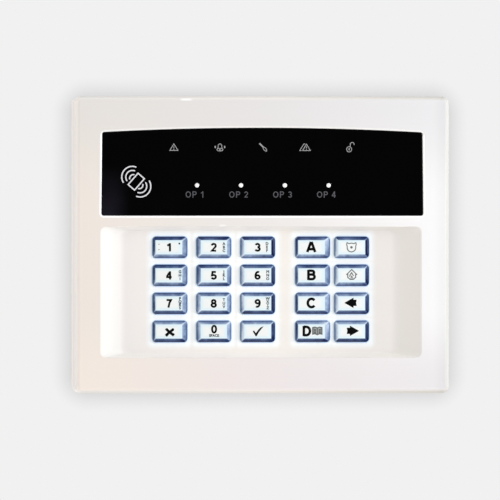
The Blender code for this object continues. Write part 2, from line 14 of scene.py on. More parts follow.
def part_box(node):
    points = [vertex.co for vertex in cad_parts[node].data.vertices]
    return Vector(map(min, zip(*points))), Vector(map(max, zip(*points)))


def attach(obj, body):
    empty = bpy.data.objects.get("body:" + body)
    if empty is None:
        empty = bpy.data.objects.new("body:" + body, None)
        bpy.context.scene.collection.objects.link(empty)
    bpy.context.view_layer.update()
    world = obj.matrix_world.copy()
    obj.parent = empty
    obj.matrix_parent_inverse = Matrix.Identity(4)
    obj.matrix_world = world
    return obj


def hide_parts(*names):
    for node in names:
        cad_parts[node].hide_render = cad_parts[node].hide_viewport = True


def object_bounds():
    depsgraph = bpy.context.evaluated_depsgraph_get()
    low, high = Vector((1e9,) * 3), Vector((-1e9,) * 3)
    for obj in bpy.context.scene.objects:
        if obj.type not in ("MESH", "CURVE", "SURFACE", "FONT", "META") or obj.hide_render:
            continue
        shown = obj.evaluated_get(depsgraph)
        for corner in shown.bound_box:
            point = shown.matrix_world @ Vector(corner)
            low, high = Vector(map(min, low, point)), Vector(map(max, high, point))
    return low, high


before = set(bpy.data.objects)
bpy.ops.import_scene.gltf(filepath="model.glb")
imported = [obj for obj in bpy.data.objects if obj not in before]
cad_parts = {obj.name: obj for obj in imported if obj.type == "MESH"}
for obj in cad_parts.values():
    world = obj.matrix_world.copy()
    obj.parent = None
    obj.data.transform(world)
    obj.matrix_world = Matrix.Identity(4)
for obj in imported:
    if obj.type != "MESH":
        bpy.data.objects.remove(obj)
CAD_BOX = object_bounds()
CAD_MIDDLE = (CAD_BOX[0] + CAD_BOX[1]) / 2

MM = 0.001


def box_mm(node):
    """A CAD node's lowest and highest corner, in millimetres."""
    return [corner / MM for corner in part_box(node)]


def node_middle(node):
    """The middle of a CAD node's box as (x, z), in millimetres."""
    low, high = box_mm(node)
    return ((low.x + high.x) / 2, (low.z + high.z) / 2)


# Case
CASE_LOW, CASE_HIGH = box_mm("front_cover")
CASE_WIDTH = CASE_HIGH.x - CASE_LOW.x
CASE_HEIGHT = CASE_HIGH.z - CASE_LOW.z
CASE_DEPTH = -CASE_LOW.y
CASE_BOTTOM = CASE_LOW.z
COVER_BACK = -CASE_HIGH.y
CASE_CORNER = 2.6
WALL = 2.4
FRONT_ROUNDING = 2.0
COVER_PLATE = 2.8
BASE_PLATE = 2.5
SEAM_GAP = 0.5
SEAM_DEPTH = COVER_BACK - SEAM_GAP
LAP_HEIGHT = 2.7
LAP_INSET = 1.4
CLEARANCE = 0.3
EDGE_BREAK = 0.25

# Display window
LENS_LOW, LENS_HIGH = box_mm("display_window")
LENS_BACK = -LENS_HIGH.y
LENS_FRONT = -LENS_LOW.y
WINDOW_HALF_BOTTOM = LENS_HIGH.x
WINDOW_HALF_TOP = WINDOW_HALF_BOTTOM - 0.3
WINDOW_BOTTOM = LENS_LOW.z
WINDOW_BOW = 1.7
WINDOW_SIDE_TOP = LENS_HIGH.z - WINDOW_BOW
WINDOW_CORNER = 0.9
WINDOW_LEDGE = 1.8
WINDOW_GAP = 0.1
WINDOW_CHAMFER = 0.7

# Dished key panel
RECESS_MIDDLE = -0.5
RECESS_HALF_WIDTH = 63.1
RECESS_BOTTOM = -44.4
RECESS_TOP = 7.2
RECESS_DEPTH = 3.0
RECESS_CORNER = 2.4
FLOOR_MIDDLE = -1.3
FLOOR_HALF_WIDTH = 52.3
FLOOR_BOTTOM = -42.1
FLOOR_TOP = 5.5
FLOOR_THICKNESS = 2.2
FLOOR_DEPTH = CASE_DEPTH - RECESS_DEPTH

# Keys
KEY_ROWS = (
    ("key_1", "key_2", "key_3", "key_a", "key_shield"),
    ("key_4", "key_5", "key_6", "key_b", "key_house"),
    ("key_7", "key_8", "key_9", "key_c", "key_left"),
    ("key_cancel", "key_0", "key_enter", "key_d", "key_right"),
)
KEY_WIDTH = 13.5
KEY_HEIGHT = 8.4
KEY_CORNER = 1.5
KEY_FACE_WIDTH = 10.7
KEY_FACE_HEIGHT = 5.6
KEY_BEVEL_RISE = 0.7
KEY_GAP = 0.25
FLANGE_WIDTH = 14.8
FLANGE_HEIGHT = 10.0
FLANGE_THICKNESS = 1.2
STEM_WIDTH = 8.0
STEM_HEIGHT = 4.0
KEY_FACE = -box_mm("key_1")[0].y
STEM_END = -box_mm("key_1")[1].y
PRINT_THICKNESS = 0.04
PRINT_ROOT = 0.01
TYPE_SIZE_TO_HEIGHT = 1.37
TYPE_WEIGHT = 0.05

# Wall plate
BOARD_FRONT = -box_mm("main_board")[0].y
BOSS_X = 65.5
BOSS_Z = 50.3
BOSSES = [(x, z) for x in (-BOSS_X, BOSS_X) for z in (-BOSS_Z, BOSS_Z)]
BOSS_RADIUS = 3.0
PILOT_RADIUS = 1.1
FIXING_X = 42.0
FIXING_Z = 40.0
GANG_X = 30.15
SCREW_SLOT = 4.5
KEYHOLE_HEAD = 8.5
CATCH_X = 40.0
CATCH_DEPTH = 14.0
LUG_PILOT_RADIUS = 1.2
HOOK_DEPTH = 14.0
HOOK_POCKET = (11.2, 2.2)
ENTRY_WIDTH = 40.0
ENTRY_HEIGHT = 18.0
ENTRY_Z = -20.0
PLUNGER_RADIUS = 2.5
PLUNGER_FLANGE_RADIUS = 4.5
# A cover screw's hole: its mouth, the seat of the head and the shank
SCREW_HOLE_RADII = (3.35, 3.1, 1.6)

# Facets along each rounded corner, up the front rounding and round each circle
CORNER_STEPS = 8
ROUNDING_STEPS = 8
CIRCLE_STEPS = 32

CASE_BODY = "case"

# Turns an outline's (x, z) and its section's depth into the world's axes
FACING_FRONT = Matrix(((1, 0, 0, 0), (0, 0, -1, 0), (0, 1, 0, 0), (0, 0, 0, 1)))
# The same for a piece that stands upright: its outline is (x, y), and its sections go up
FACING_UP = Matrix.Identity(4)


# ---------------- outlines


def oval(centre, radius_x, radius_z, start, end, steps):
    """Points along part of an ellipse, in degrees anticlockwise."""
    angles = [math.radians(start + (end - start) * i / steps) for i in range(steps + 1)]
    return [(centre[0] + radius_x * math.cos(a), centre[1] + radius_z * math.sin(a)) for a in angles]


def arc(centre, radius, start, end, steps=10):
    return oval(centre, radius, radius, start, end, steps)


def circle(radius, centre=(0.0, 0.0), steps=CIRCLE_STEPS):
    return arc(centre, radius, 0, 360, steps)[:-1]


def rounded(width, height, corner, centre=(0.0, 0.0), steps=CORNER_STEPS):
    """A rounded rectangle, anticlockwise from its bottom right corner."""
    x = width / 2 - corner
    z = height / 2 - corner
    points = []
    for turn, (side_x, side_z) in enumerate(((1, -1), (1, 1), (-1, 1), (-1, -1))):
        middle = (centre[0] + side_x * x, centre[1] + side_z * z)
        points += arc(middle, corner, 90 * turn - 90, 90 * turn, steps)
    return points


def moved(points, centre=(0.0, 0.0), turn=0.0):
    """Points turned by an angle in degrees and moved to a centre."""
    cos, sin = math.cos(math.radians(turn)), math.sin(math.radians(turn))
    return [(centre[0] + x * cos - z * sin, centre[1] + x * sin + z * cos) for x, z in points]


def between(inner, outer, share):
    """The outline that lies a share of the way from inner to outer."""
    return [(a + (c - a) * share, b + (d - b) * share) for (a, b), (c, d) in zip(inner, outer)]


def case_outline(inset=0.0):
    corner = max(CASE_CORNER - inset, 0.4)
    return rounded(CASE_WIDTH - 2 * inset, CASE_HEIGHT - 2 * inset, corner)


def dish_outline(middle, half_width, bottom, top, grow):
    height = top - bottom + 2 * grow
    return rounded(2 * (half_width + grow), height, RECESS_CORNER + grow, (middle, (top + bottom) / 2))


def recess_outline(grow=0.0):
    return dish_outline(RECESS_MIDDLE, RECESS_HALF_WIDTH, RECESS_BOTTOM, RECESS_TOP, grow)


def floor_outline(grow=0.0):
    return dish_outline(FLOOR_MIDDLE, FLOOR_HALF_WIDTH, FLOOR_BOTTOM, FLOOR_TOP, grow)


def window(inset=0.0):
    """The display window's outline, moved inwards by inset."""
    corner = max(WINDOW_CORNER - inset, 0.3)
    bottom_x = WINDOW_HALF_BOTTOM - inset - corner
    top_x = WINDOW_HALF_TOP - inset - corner
    low = WINDOW_BOTTOM + inset + corner
    high = WINDOW_SIDE_TOP - inset - corner
    points = arc((-bottom_x, low), corner, 180, 270, CORNER_STEPS)
    points += arc((bottom_x, low), corner, 270, 360, CORNER_STEPS)
    points += arc((top_x, high), corner, 0, 90, CORNER_STEPS)
    bow_steps = 24
    for step in range(1, bow_steps):
        x = top_x * (1 - 2 * step / bow_steps)
        points.append((x, high + corner + WINDOW_BOW * (1 - (x / top_x) ** 2)))
    return points + arc((-top_x, high), corner, 90, 180, CORNER_STEPS)


def cross(length, width):
    """A plus sign, for a screw's driver recess."""
    a, b = length / 2, width / 2
    return [point for i in range(4) for point in moved([(a, -b), (a, b), (b, b)], turn=90 * i)]


# ---------------- meshes


def loft_faces(count, levels, first):
    """Quads between neighbouring sections and a cap at each end, for points numbered from first."""
    faces = []
    for level in range(levels - 1):
        for i in range(count):
            a = first + level * count + i
            b = first + level * count + (i + 1) % count
            faces.append((a, b, b + count, a + count))
    faces.append(tuple(range(first + count - 1, first - 1, -1)))
    faces.append(tuple(range(first + (levels - 1) * count, first + levels * count)))
    return faces


def show(name, data):
    """A new object in the scene."""
    made = bpy.data.objects.new(name, data)
    bpy.context.scene.collection.objects.link(made)
    return made


def add(name, points, faces, finish):
    mesh = bpy.data.meshes.new(name)
    mesh.from_pydata([point * MM for point in points], [], faces)
    mesh.materials.append(finish)
    return show(name, mesh)


def loft(name, finish, *bodies, facing=FACING_FRONT):
    """A mesh of closed bodies, each a list of (outline, depth) sections in order of depth."""
    points = []
    faces = []
    for sections in bodies:
        faces += loft_faces(len(sections[0][0]), len(sections), len(points))
        for outline, depth in sections:
            points += [facing @ Vector((x, z, depth)) for x, z in outline]
    return add(name, points, faces, finish)


def straight(outline, back, front):
    return [(outline, back), (outline, front)]


def combine(target, tool, operation):
    """Cuts tool out of target, or joins it on, and removes the tool. Cut faces take the tool's finish."""
    modifier = target.modifiers.new("combine", "BOOLEAN")
    modifier.operation = operation
    modifier.solver = "EXACT"
    modifier.material_mode = "TRANSFER"
    modifier.object = tool
    depsgraph = bpy.context.evaluated_depsgraph_get()
    mesh = bpy.data.meshes.new_from_object(target.evaluated_get(depsgraph))
    target.modifiers.clear()
    target.data = mesh
    bpy.data.objects.remove(tool)


def carve(target, finish, *bodies, facing=FACING_FRONT):
    combine(target, loft("tool", finish, *bodies, facing=facing), "DIFFERENCE")


def fuse(parts):
    """Joins parts on to the first of them, one by one."""
    made, *others = parts
    for part in others:
        combine(made, part, "UNION")
    return made


def smooth(piece, angle=30):
    """Rounded stretches shade smoothly, and flat faces stay flat right up to them."""
    piece.data.shade_smooth()
    piece.data.set_sharp_from_angle(angle=math.radians(angle))
    weighted = piece.modifiers.new("flat_faces", "WEIGHTED_NORMAL")
    weighted.keep_sharp = True
    weighted.weight = 100
    return piece


def place(piece, body, *nodes, slot=None):
    """Rides the piece on a body, in the place of the CAD nodes named."""
    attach(piece, body)
    if nodes:
        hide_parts(*nodes)


# ---------------- printed marks


def ribbon(points, width, closed, back, front):
    """A stroke of even width along points, as one closed body: its corner points and faces."""
    count = len(points)
    corners = []
    for i, (x, z) in enumerate(points):
        before = Vector(points[i - 1]) if closed or i > 0 else None
        after = Vector(points[(i + 1) % count]) if closed or i < count - 1 else None
        here = Vector((x, z))
        way_in = (here - before).normalized() if before else (after - here).normalized()
        way_out = (after - here).normalized() if after else way_in
        side = Vector((-way_in.y - way_out.y, way_in.x + way_out.x)).normalized()
        reach = width / 2 / max(side.dot(Vector((-way_in.y, way_in.x))), 0.5)
        left = here + side * reach
        right = here - side * reach
        corners += [(left.x, -back, left.y), (right.x, -back, right.y)]
        corners += [(right.x, -front, right.y), (left.x, -front, left.y)]
    faces = []
    for i in range(count if closed else count - 1):
        a, b = 4 * i, 4 * ((i + 1) % count)
        faces += [(a + k, a + (k + 1) % 4, b + (k + 1) % 4, b + k) for k in range(4)]
    if not closed:
        last = 4 * (count - 1)
        faces += [(3, 2, 1, 0), (last, last + 1, last + 2, last + 3)]
    return [Vector(corner) for corner in corners], faces


def line(*points):
    return ("line", points)


def loop(*points):
    return ("loop", points)


def patch(*points):
    return ("patch", points)


def disc(radius, centre, steps):
    return ("patch", circle(radius, centre, steps))


def ring(centre, radius_x, radius_z, steps, kind="loop"):
    """A whole ellipse, as a stroke or as a filled patch."""
    return (kind, oval(centre, radius_x, radius_z, 0, 360, steps)[:-1])


def mark(name, finish, strokes, width, centre, surface, turn=0.0):
    """Strokes and filled patches printed on the surface at that depth, fused into one thin piece."""
    back = surface - PRINT_ROOT
    front = surface + PRINT_THICKNESS
    parts = []
    for kind, points in strokes:
        points = moved(points, centre, turn)
        if kind == "patch":
            parts.append(loft(name, finish, straight(points, back, front)))
        else:
            parts.append(add(name, *ribbon(points, width, kind == "loop", back, front), finish))
    return fuse(parts)


STEM = line((0.13, 0.0), (0.13, 1.0))
# Characters on a cell one unit high: each is its width and the lines that a pen would follow
GLYPHS = {
    "0": (0.60, [ring((0.30, 0.5), 0.20, 0.41, 24)]),
    "1": (0.50, [line((0.34, 0.0), (0.34, 1.0)), line((0.36, 0.90), (0.08, 0.70))]),
    "2": (0.60, [line(*oval((0.30, 0.68), 0.20, 0.23, 170, -40, 12), (0.12, 0.09), (0.53, 0.09))]),
    "3": (0.60, [
        line(*oval((0.29, 0.70), 0.19, 0.21, 160, -90, 12)),
        line(*oval((0.29, 0.29), 0.22, 0.20, 90, -160, 12)),
    ]),
    "4": (0.60, [
        line((0.40, 0.0), (0.40, 0.99)),
        line((0.39, 0.93), (0.08, 0.34)),
        line((0.02, 0.29), (0.56, 0.29)),
    ]),
    "5": (0.60, [
        line((0.51, 0.91), (0.18, 0.91), (0.13, 0.50), *oval((0.30, 0.32), 0.21, 0.23, 125, -158, 12)),
    ]),
    "6": (0.60, [ring((0.30, 0.30), 0.20, 0.21, 18), line(*oval((0.33, 0.40), 0.24, 0.51, 62, 185, 12))]),
    "7": (0.56, [line((0.04, 0.91), (0.47, 0.91), (0.32, 0.55), (0.22, 0.0))]),
    "8": (0.60, [ring((0.30, 0.715), 0.17, 0.195, 18), ring((0.30, 0.30), 0.21, 0.21, 18)]),
    "A": (0.78, [
        line((0.08, 0.0), (0.37, 1.0)),
        line((0.70, 0.0), (0.41, 1.0)),
        line((0.19, 0.28), (0.59, 0.28)),
    ]),
    "B": (0.70, [
        STEM,
        line((0.13, 0.91), *oval((0.40, 0.725), 0.17, 0.185, 90, -90, 8), (0.13, 0.54)),
        line((0.13, 0.54), *oval((0.41, 0.315), 0.21, 0.225, 90, -90, 8), (0.13, 0.09)),
    ]),
    "C": (0.74, [line(*oval((0.39, 0.50), 0.29, 0.41, 38, 322, 20))]),
    "D": (0.72, [STEM, line((0.13, 0.91), *oval((0.32, 0.5), 0.29, 0.41, 90, -90, 14), (0.13, 0.09))]),
    "O": (0.80, [ring((0.40, 0.5), 0.31, 0.42, 24)]),
    "P": (0.66, [STEM, line((0.13, 0.92), *oval((0.38, 0.70), 0.20, 0.22, 90, -90, 10), (0.13, 0.48))]),
}
SIX = GLYPHS["6"][1]
GLYPHS["9"] = (0.60, [(kind, [(0.60 - x, 1.0 - z) for x, z in points]) for kind, points in SIX])


def word_strokes(text, height, stretch=1.0, gap=0.12, space=0.45):
    """A word's strokes, its middle at the origin. Stretch widens its characters."""
    strokes = []
    x = 0.0
    for letter in text:
        if letter == " ":
            x += space
            continue
        width, lines = GLYPHS[letter]
        strokes += [(kind, moved(points, (x, 0.0))) for kind, points in lines]
        x += width + gap
    middle = (x - gap) / 2
    width = height * stretch
    return [
        (kind, [((px - middle) * width, (pz - 0.5) * height) for px, pz in points])
        for kind, points in strokes
    ]


def small_text(name, finish, text, height, centre, surface, pitch=None):
    """Small letters in the built-in face: a row, or a column when pitch is given."""
    parts = []
    rows = list(text) if pitch else [text]
    for row, letters in enumerate(rows):
        curve = bpy.data.curves.new(name, "FONT")
        curve.body = letters
        curve.size = height * TYPE_SIZE_TO_HEIGHT * MM
        curve.align_x = "CENTER"
        curve.align_y = "CENTER"
        curve.resolution_u = 3
        curve.offset = height * TYPE_WEIGHT * MM
        curve.extrude = (PRINT_THICKNESS + PRINT_ROOT) / 2 * MM
        typed = bpy.data.objects.new(name, curve)
        middle = surface + (PRINT_THICKNESS - PRINT_ROOT) / 2
        drop = ((len(rows) - 1) / 2 - row) * (pitch or 0.0)
        mesh = bpy.data.meshes.new_from_object(typed)
        mesh.transform(Matrix.Translation(Vector((centre[0], -middle, centre[1] + drop)) * MM) @ FACING_FRONT)
        bpy.data.objects.remove(typed)
        mesh.materials.append(finish)
        parts.append(show(name, mesh))
    return fuse(parts)


# ---------------- materials


def calculation(operation, swapped=False):
    """A method that adds a Math node for that operation."""

    def method(value, *others):
        return value.nodes.math(operation, *((*others, value) if swapped else (value, *others)))

    return method


class Value:
    """A number or colour that nodes work out. Arithmetic on it adds Math nodes."""

    __add__ = calculation("ADD")
    __sub__ = calculation("SUBTRACT")
    __rsub__ = calculation("SUBTRACT", swapped=True)
    __mul__ = calculation("MULTIPLY")
    __truediv__ = calculation("DIVIDE")
    __pow__ = calculation("POWER")
    __abs__ = calculation("ABSOLUTE")
    at_least = calculation("MAXIMUM")
    at_most = calculation("MINIMUM")
    back_and_forth = calculation("PINGPONG")

    def __init__(self, nodes, socket):
        self.nodes = nodes
        self.socket = socket

    def span(self, low, high, to_low=0.0, to_high=1.0):
        """The value from low to high, mapped and held within to_low to to_high."""
        inputs = {"Value": self, 1: low, 2: high, 3: to_low, 4: to_high}
        return self.nodes.node("MapRange", inputs, interpolation_type="SMOOTHSTEP")

    def axes(self):
        split = self.nodes.node("SeparateXYZ", {0: self}).socket.node
        return [Value(self.nodes, part) for part in split.outputs]


class Nodes:
    """A node tree being wired. Each method but feed adds a node and gives back its output."""

    def __init__(self, tree):
        self.tree = tree

    def node(self, kind, inputs=(), output=0, **settings):
        made = self.tree.nodes.new("ShaderNode" + kind)
        for name, value in settings.items():
            setattr(made, name, value)
        for socket, value in dict(inputs).items():
            self.feed(made.inputs[socket], value)
        return Value(self, made.outputs[output])

    def feed(self, socket, value):
        if isinstance(value, Value):
            self.tree.links.new(value.socket, socket)
        else:
            socket.default_value = (*value, 1.0) if socket.type == "RGBA" else value

    def math(self, operation, *values):
        return self.node("Math", dict(enumerate(values)), operation=operation)

    def mix(self, share, low, high):
        """A colour between two."""
        return self.node("Mix", {0: share, 6: low, 7: high}, 2, data_type="RGBA")

    def ramp(self, value, *stops):
        """A colour looked up between (position, colour) stops."""
        looked_up = self.node("ValToRGB", {0: value})
        points = looked_up.socket.node.color_ramp.elements
        while len(points) < len(stops):
            points.new(0.5)
        for point, (position, colour) in zip(points, stops):
            point.position = position
            point.color = (*colour, 1.0)
        return looked_up


class Shader(Nodes):
    """A material's nodes, round its principled shader."""

    def __init__(self, name, colour, roughness, metallic=0.0):
        self.material = bpy.data.materials.new(name)
        self.material.use_nodes = True
        super().__init__(self.material.node_tree)
        self.surface = self.tree.nodes["Principled BSDF"]
        self.set("Base Color", colour)
        self.set("Roughness", roughness)
        self.set("Metallic", metallic)

    def set(self, socket, value):
        self.feed(self.surface.inputs[socket], value)

    def places(self, stretch=(1.0, 1.0, 1.0)):
        """Places on the piece, in millimetres from its origin, scaled along each axis by stretch."""
        return self.in_mm(self.node("TexCoord", output="Object"), stretch)

    def in_mm(self, place, stretch=(1.0, 1.0, 1.0)):
        return self.node("VectorMath", {0: place, 1: scaled(stretch, 1 / MM)}, operation="MULTIPLY")

    def noise(self, size, detail=3.0, stretch=(1.0, 1.0, 1.0), seed=0.0):
        """Soft random values from 0 to 1, about size millimetres across."""
        inputs = {"Vector": self.places(stretch), "W": seed, "Scale": 1 / size, "Detail": detail}
        return self.node("TexNoise", inputs, noise_dimensions="4D")

    def paint(self, share, low, high):
        """Base colour between two."""
        self.set("Base Color", self.mix(share, low, high))

    def wear(self, noise, low, high):
        """Roughness that wanders with a noise between two."""
        self.set("Roughness", noise.span(0.3, 0.7, low, high))

    def bump(self, height, depth):
        """Relief of that depth in millimetres."""
        self.set("Normal", self.node("Bump", {"Height": height, "Distance": depth * MM, "Strength": 1.0}))

    def glow(self, colour, strength):
        self.set("Emission Color", colour)
        self.set("Emission Strength", strength)


def tone(red, green, blue):
    """A display colour, 0 to 255, as the linear light it stands for."""
    return tuple((value / 255) ** 2.2 for value in (red, green, blue))


def scaled(colour, share):
    return tuple(value * share for value in colour)


def outside_box(past_sides, past_ends):
    """Distance from a rectangle, given how far a place is past its sides and its ends."""
    return (past_sides.at_least(0.0) ** 2.0 + past_ends.at_least(0.0) ** 2.0) ** 0.5


# The case's colour with painted light and shade in it, at its left, middle and right: halfway up, at both
# ends, on the dish's slopes and floor
MIDDLE_TONES = ((0.857, 0.792, 0.735), (0.825, 0.795, 0.782), (0.914, 0.914, 0.930))
TOP_TONES = ((0.780, 0.750, 0.720), (0.772, 0.753, 0.762), (0.790, 0.790, 0.815))
BOTTOM_TONES = ((0.905, 0.818, 0.750), (0.832, 0.776, 0.785), (0.798, 0.785, 0.812))
SLOPE_TONES = ((0.880, 0.865, 0.850), (0.930, 0.895, 0.870), (0.770, 0.755, 0.720))
FLOOR_TONES = ((0.865, 0.830, 0.825), (0.935, 0.895, 0.850), (0.745, 0.715, 0.705))
# Painted light and shade on the case's rounded edges, from the outermost line to where the flat begins
LEFT_EDGE = (0.84, 0.97, 1.12, 1.12)
RIGHT_EDGE = (0.82, 0.90, 0.85, 0.95)
END_EDGES = (0.84, 0.86, 0.94, 1.01)
# Two small highlights on the front's edges: the middle of each, its half length and its strength
GLINTS = ((-30.0, 56.9, 3.1, 0.9), (-15.7, 7.5, 1.9, 0.55))


def facing_key_light(shader):
    """Painted shade: high on what faces right, where the key light would otherwise bleach the side of the
    case.
    """
    rightward = shader.node("TexCoord", output="Normal").axes()[0]
    behind_rounding = shader.places().axes()[1].span(1.0 - CASE_DEPTH, 2.5 - CASE_DEPTH)
    return rightward.span(0.2, 0.7, 0.0, 0.7) * behind_rounding


def key_glow(shader, columns):
    """1 beside the nearest key of a block, fading to 0 a few millimetres away."""
    x, _, z = shader.places().axes()
    past = []
    for value, first, count, pitch, half in (
        (x, columns[0], len(columns), columns[1] - columns[0], KEY_WIDTH / 2),
        (z, TOP_ROW, len(KEY_ROWS), -ROW_PITCH, KEY_HEIGHT / 2),
    ):
        nearest = shader.math("ROUND", (value - first) / pitch).at_least(0.0).at_most(count - 1)
        past.append(abs(value - (nearest * pitch + first)) - half)
    return outside_box(*past).span(0.2, 3.4, 1.0, 0.0)


def case_shade(shader, x, y, z):
    """White with painted light and shade: warmer at the left and brightest halfway up the right, with a
    plainer dish whose right slope is painted darker.
    """

    def shade_across(tones):
        return shader.ramp(x * (1 / CASE_WIDTH) + 0.5, *zip((0.0, 0.5, 1.0), tones))

    shade = shade_across(MIDDLE_TONES)
    for tones, place_in_zone, start, full in (
        (TOP_TONES, z, 15.0, CASE_HEIGHT / 2 - 4.0),
        (BOTTOM_TONES, z, -25.0, -CASE_HEIGHT / 2 + 4.0),
        (SLOPE_TONES, y, -CASE_DEPTH + 0.02, -CASE_DEPTH + 0.3),
        (FLOOR_TONES, y, -FLOOR_DEPTH - 0.5, -FLOOR_DEPTH - 0.05),
    ):
        shade = shader.mix(place_in_zone.span(start, full), shade, shade_across(tones))
    return shade


def edge_light(shader, inset, lights):
    """The light on a rounded edge, along its inset. The ramp holds it as a share of the brightest."""
    brightest = 1.15
    reach = FRONT_ROUNDING * 1.15
    shares = (0.0, 0.25, 0.45, 0.75, 1.0)
    stops = [(share, (light / brightest,) * 3) for share, light in zip(shares, (*lights, 1.0))]
    return shader.ramp(inset / reach, *stops) * brightest


def glints(x, z):
    brightest = 0.0
    for middle_x, middle_z, half_length, strength in GLINTS:
        along = abs(x - middle_x).span(0.3 * half_length, half_length, strength, 0.0)
        across = abs(z - middle_z).span(0.15, 0.65, 1.0, 0.0)
        brightest = (along * across).at_least(brightest)
    return brightest


def case_plastic():
    """Glossy white moulding with faint flow marks, painted light and shade across it and on its rounded
    edges, painted shade on what faces right, two painted highlights and a painted glow of the light that
    spills out round the keys.
    """
    shader = Shader("case_plastic", (0.8, 0.8, 0.8), 0.3)
    x, y, z = shader.places().axes()
    from_left = x + CASE_WIDTH / 2
    from_right = CASE_WIDTH / 2 - x
    from_end = CASE_HEIGHT / 2 - abs(z)
    # Painted shade just inside the right edge, then painted light and shade on each rounded edge
    light = from_right.span(2.0, 7.0, 0.94, 1.0)
    for inset, lights in ((from_left, LEFT_EDGE), (from_right, RIGHT_EDGE), (from_end, END_EDGES)):
        light = light * edge_light(shader, inset, lights)
    shade = shader.mix(light, (0.0, 0.0, 0.0), case_shade(shader, x, y, z))
    shade = shader.mix(shader.noise(30.0, 4.0, (1.0, 1.0, 2.0)) * 0.04, shade, (0.70, 0.68, 0.66))
    shade = shader.mix(glints(x, z), shade, (1.0, 1.0, 1.0))
    shader.paint(facing_key_light(shader), shade, (0.50, 0.50, 0.50))
    from_edge = from_left.at_most(from_right).at_most(from_end)
    shader.set("Specular IOR Level", from_edge.span(0.8, 2.6, 0.12, 0.5))
    shader.set("Roughness", shader.noise(9.0, 4.0) * 0.05 + 0.265)
    shader.bump(shader.noise(0.5, 2.0), 0.004)
    # Painted glow on the dish's floor beside the keys
    numbers, letters = (key_glow(shader, columns) for columns in KEY_COLUMNS)
    on_floor = y.span(-FLOOR_DEPTH - 0.9, -FLOOR_DEPTH - 0.1)
    shader.glow((0.40, 0.75, 1.0), numbers.at_least(letters) * on_floor * 0.21)
    return shader.material


def rim_white():
    """The bright bare edge round the window, its brightness partly a painted glow, darker and with less glow
    along the top.
    """
    shader = Shader("rim_white", (0.97, 0.97, 0.97), 0.35)
    at_top = shader.places().axes()[2].span(WINDOW_SIDE_TOP - 1.5, WINDOW_SIDE_TOP - 0.5)
    shader.paint(at_top, (0.97, 0.97, 0.97), (0.88, 0.87, 0.86))
    shader.wear(shader.noise(3.0), 0.30, 0.42)
    shader.glow((1.0, 1.0, 1.0), 0.11 - at_top * 0.09)
    return shader.material


def rear_plastic():
    """Satin white moulding with a fine spark-eroded grain, and painted shade on what faces right."""
    shader = Shader("rear_plastic", (0.8, 0.8, 0.8), 0.45)
    shade = shader.mix(shader.noise(30.0, 2.0), (0.80, 0.78, 0.745), (0.84, 0.825, 0.80))
    shader.paint(facing_key_light(shader), shade, (0.50, 0.50, 0.49))
    shader.wear(shader.noise(4.0), 0.40, 0.55)
    shader.bump(shader.noise(0.22, 2.0), 0.012)
    return shader.material


def window_gloss():
    """Black acrylic with a painted reflection in its lower left corner and a trace of handling in its gloss.
    """
    shader = Shader("window_gloss", (0.003, 0.003, 0.004), 0.08)
    x, _, z = shader.places().axes()
    left = x.span(3.0 - WINDOW_HALF_BOTTOM, 12.0 - WINDOW_HALF_BOTTOM, 1.0, 0.0)
    low = z.span(WINDOW_BOTTOM + 5.0, WINDOW_BOTTOM + 21.0, 1.0, 0.0)
    shader.paint(left * low * shader.noise(16.0, 2.0), tone(3, 3, 4), tone(38, 36, 45))
    shader.set("Roughness", shader.noise(20.0, 4.0).span(0.3, 0.8, 0.05, 0.16))
    shader.set("Specular IOR Level", 0.2)
    return shader.material


def towards_block_middle(shader):
    """Where the middle of the key's block lies from the key, across and up, from -1 to 1."""
    x, _, z = shader.in_mm(shader.node("ObjectInfo", output="Location")).axes()
    numbers, letters = (sum(columns) / len(columns) for columns in KEY_COLUMNS)
    in_letters = shader.math("GREATER_THAN", x, (numbers + letters) / 2)
    reach_x = (KEY_COLUMNS[1][1] - KEY_COLUMNS[1][0]) / 2
    reach_z = ROW_PITCH * (len(KEY_ROWS) - 1) / 2
    across = in_letters * (letters - numbers) + numbers - x
    upward = TOP_ROW - reach_z - z
    return across.span(-reach_x, reach_x, -1.0, 1.0), upward.span(-reach_z, reach_z, -1.0, 1.0)


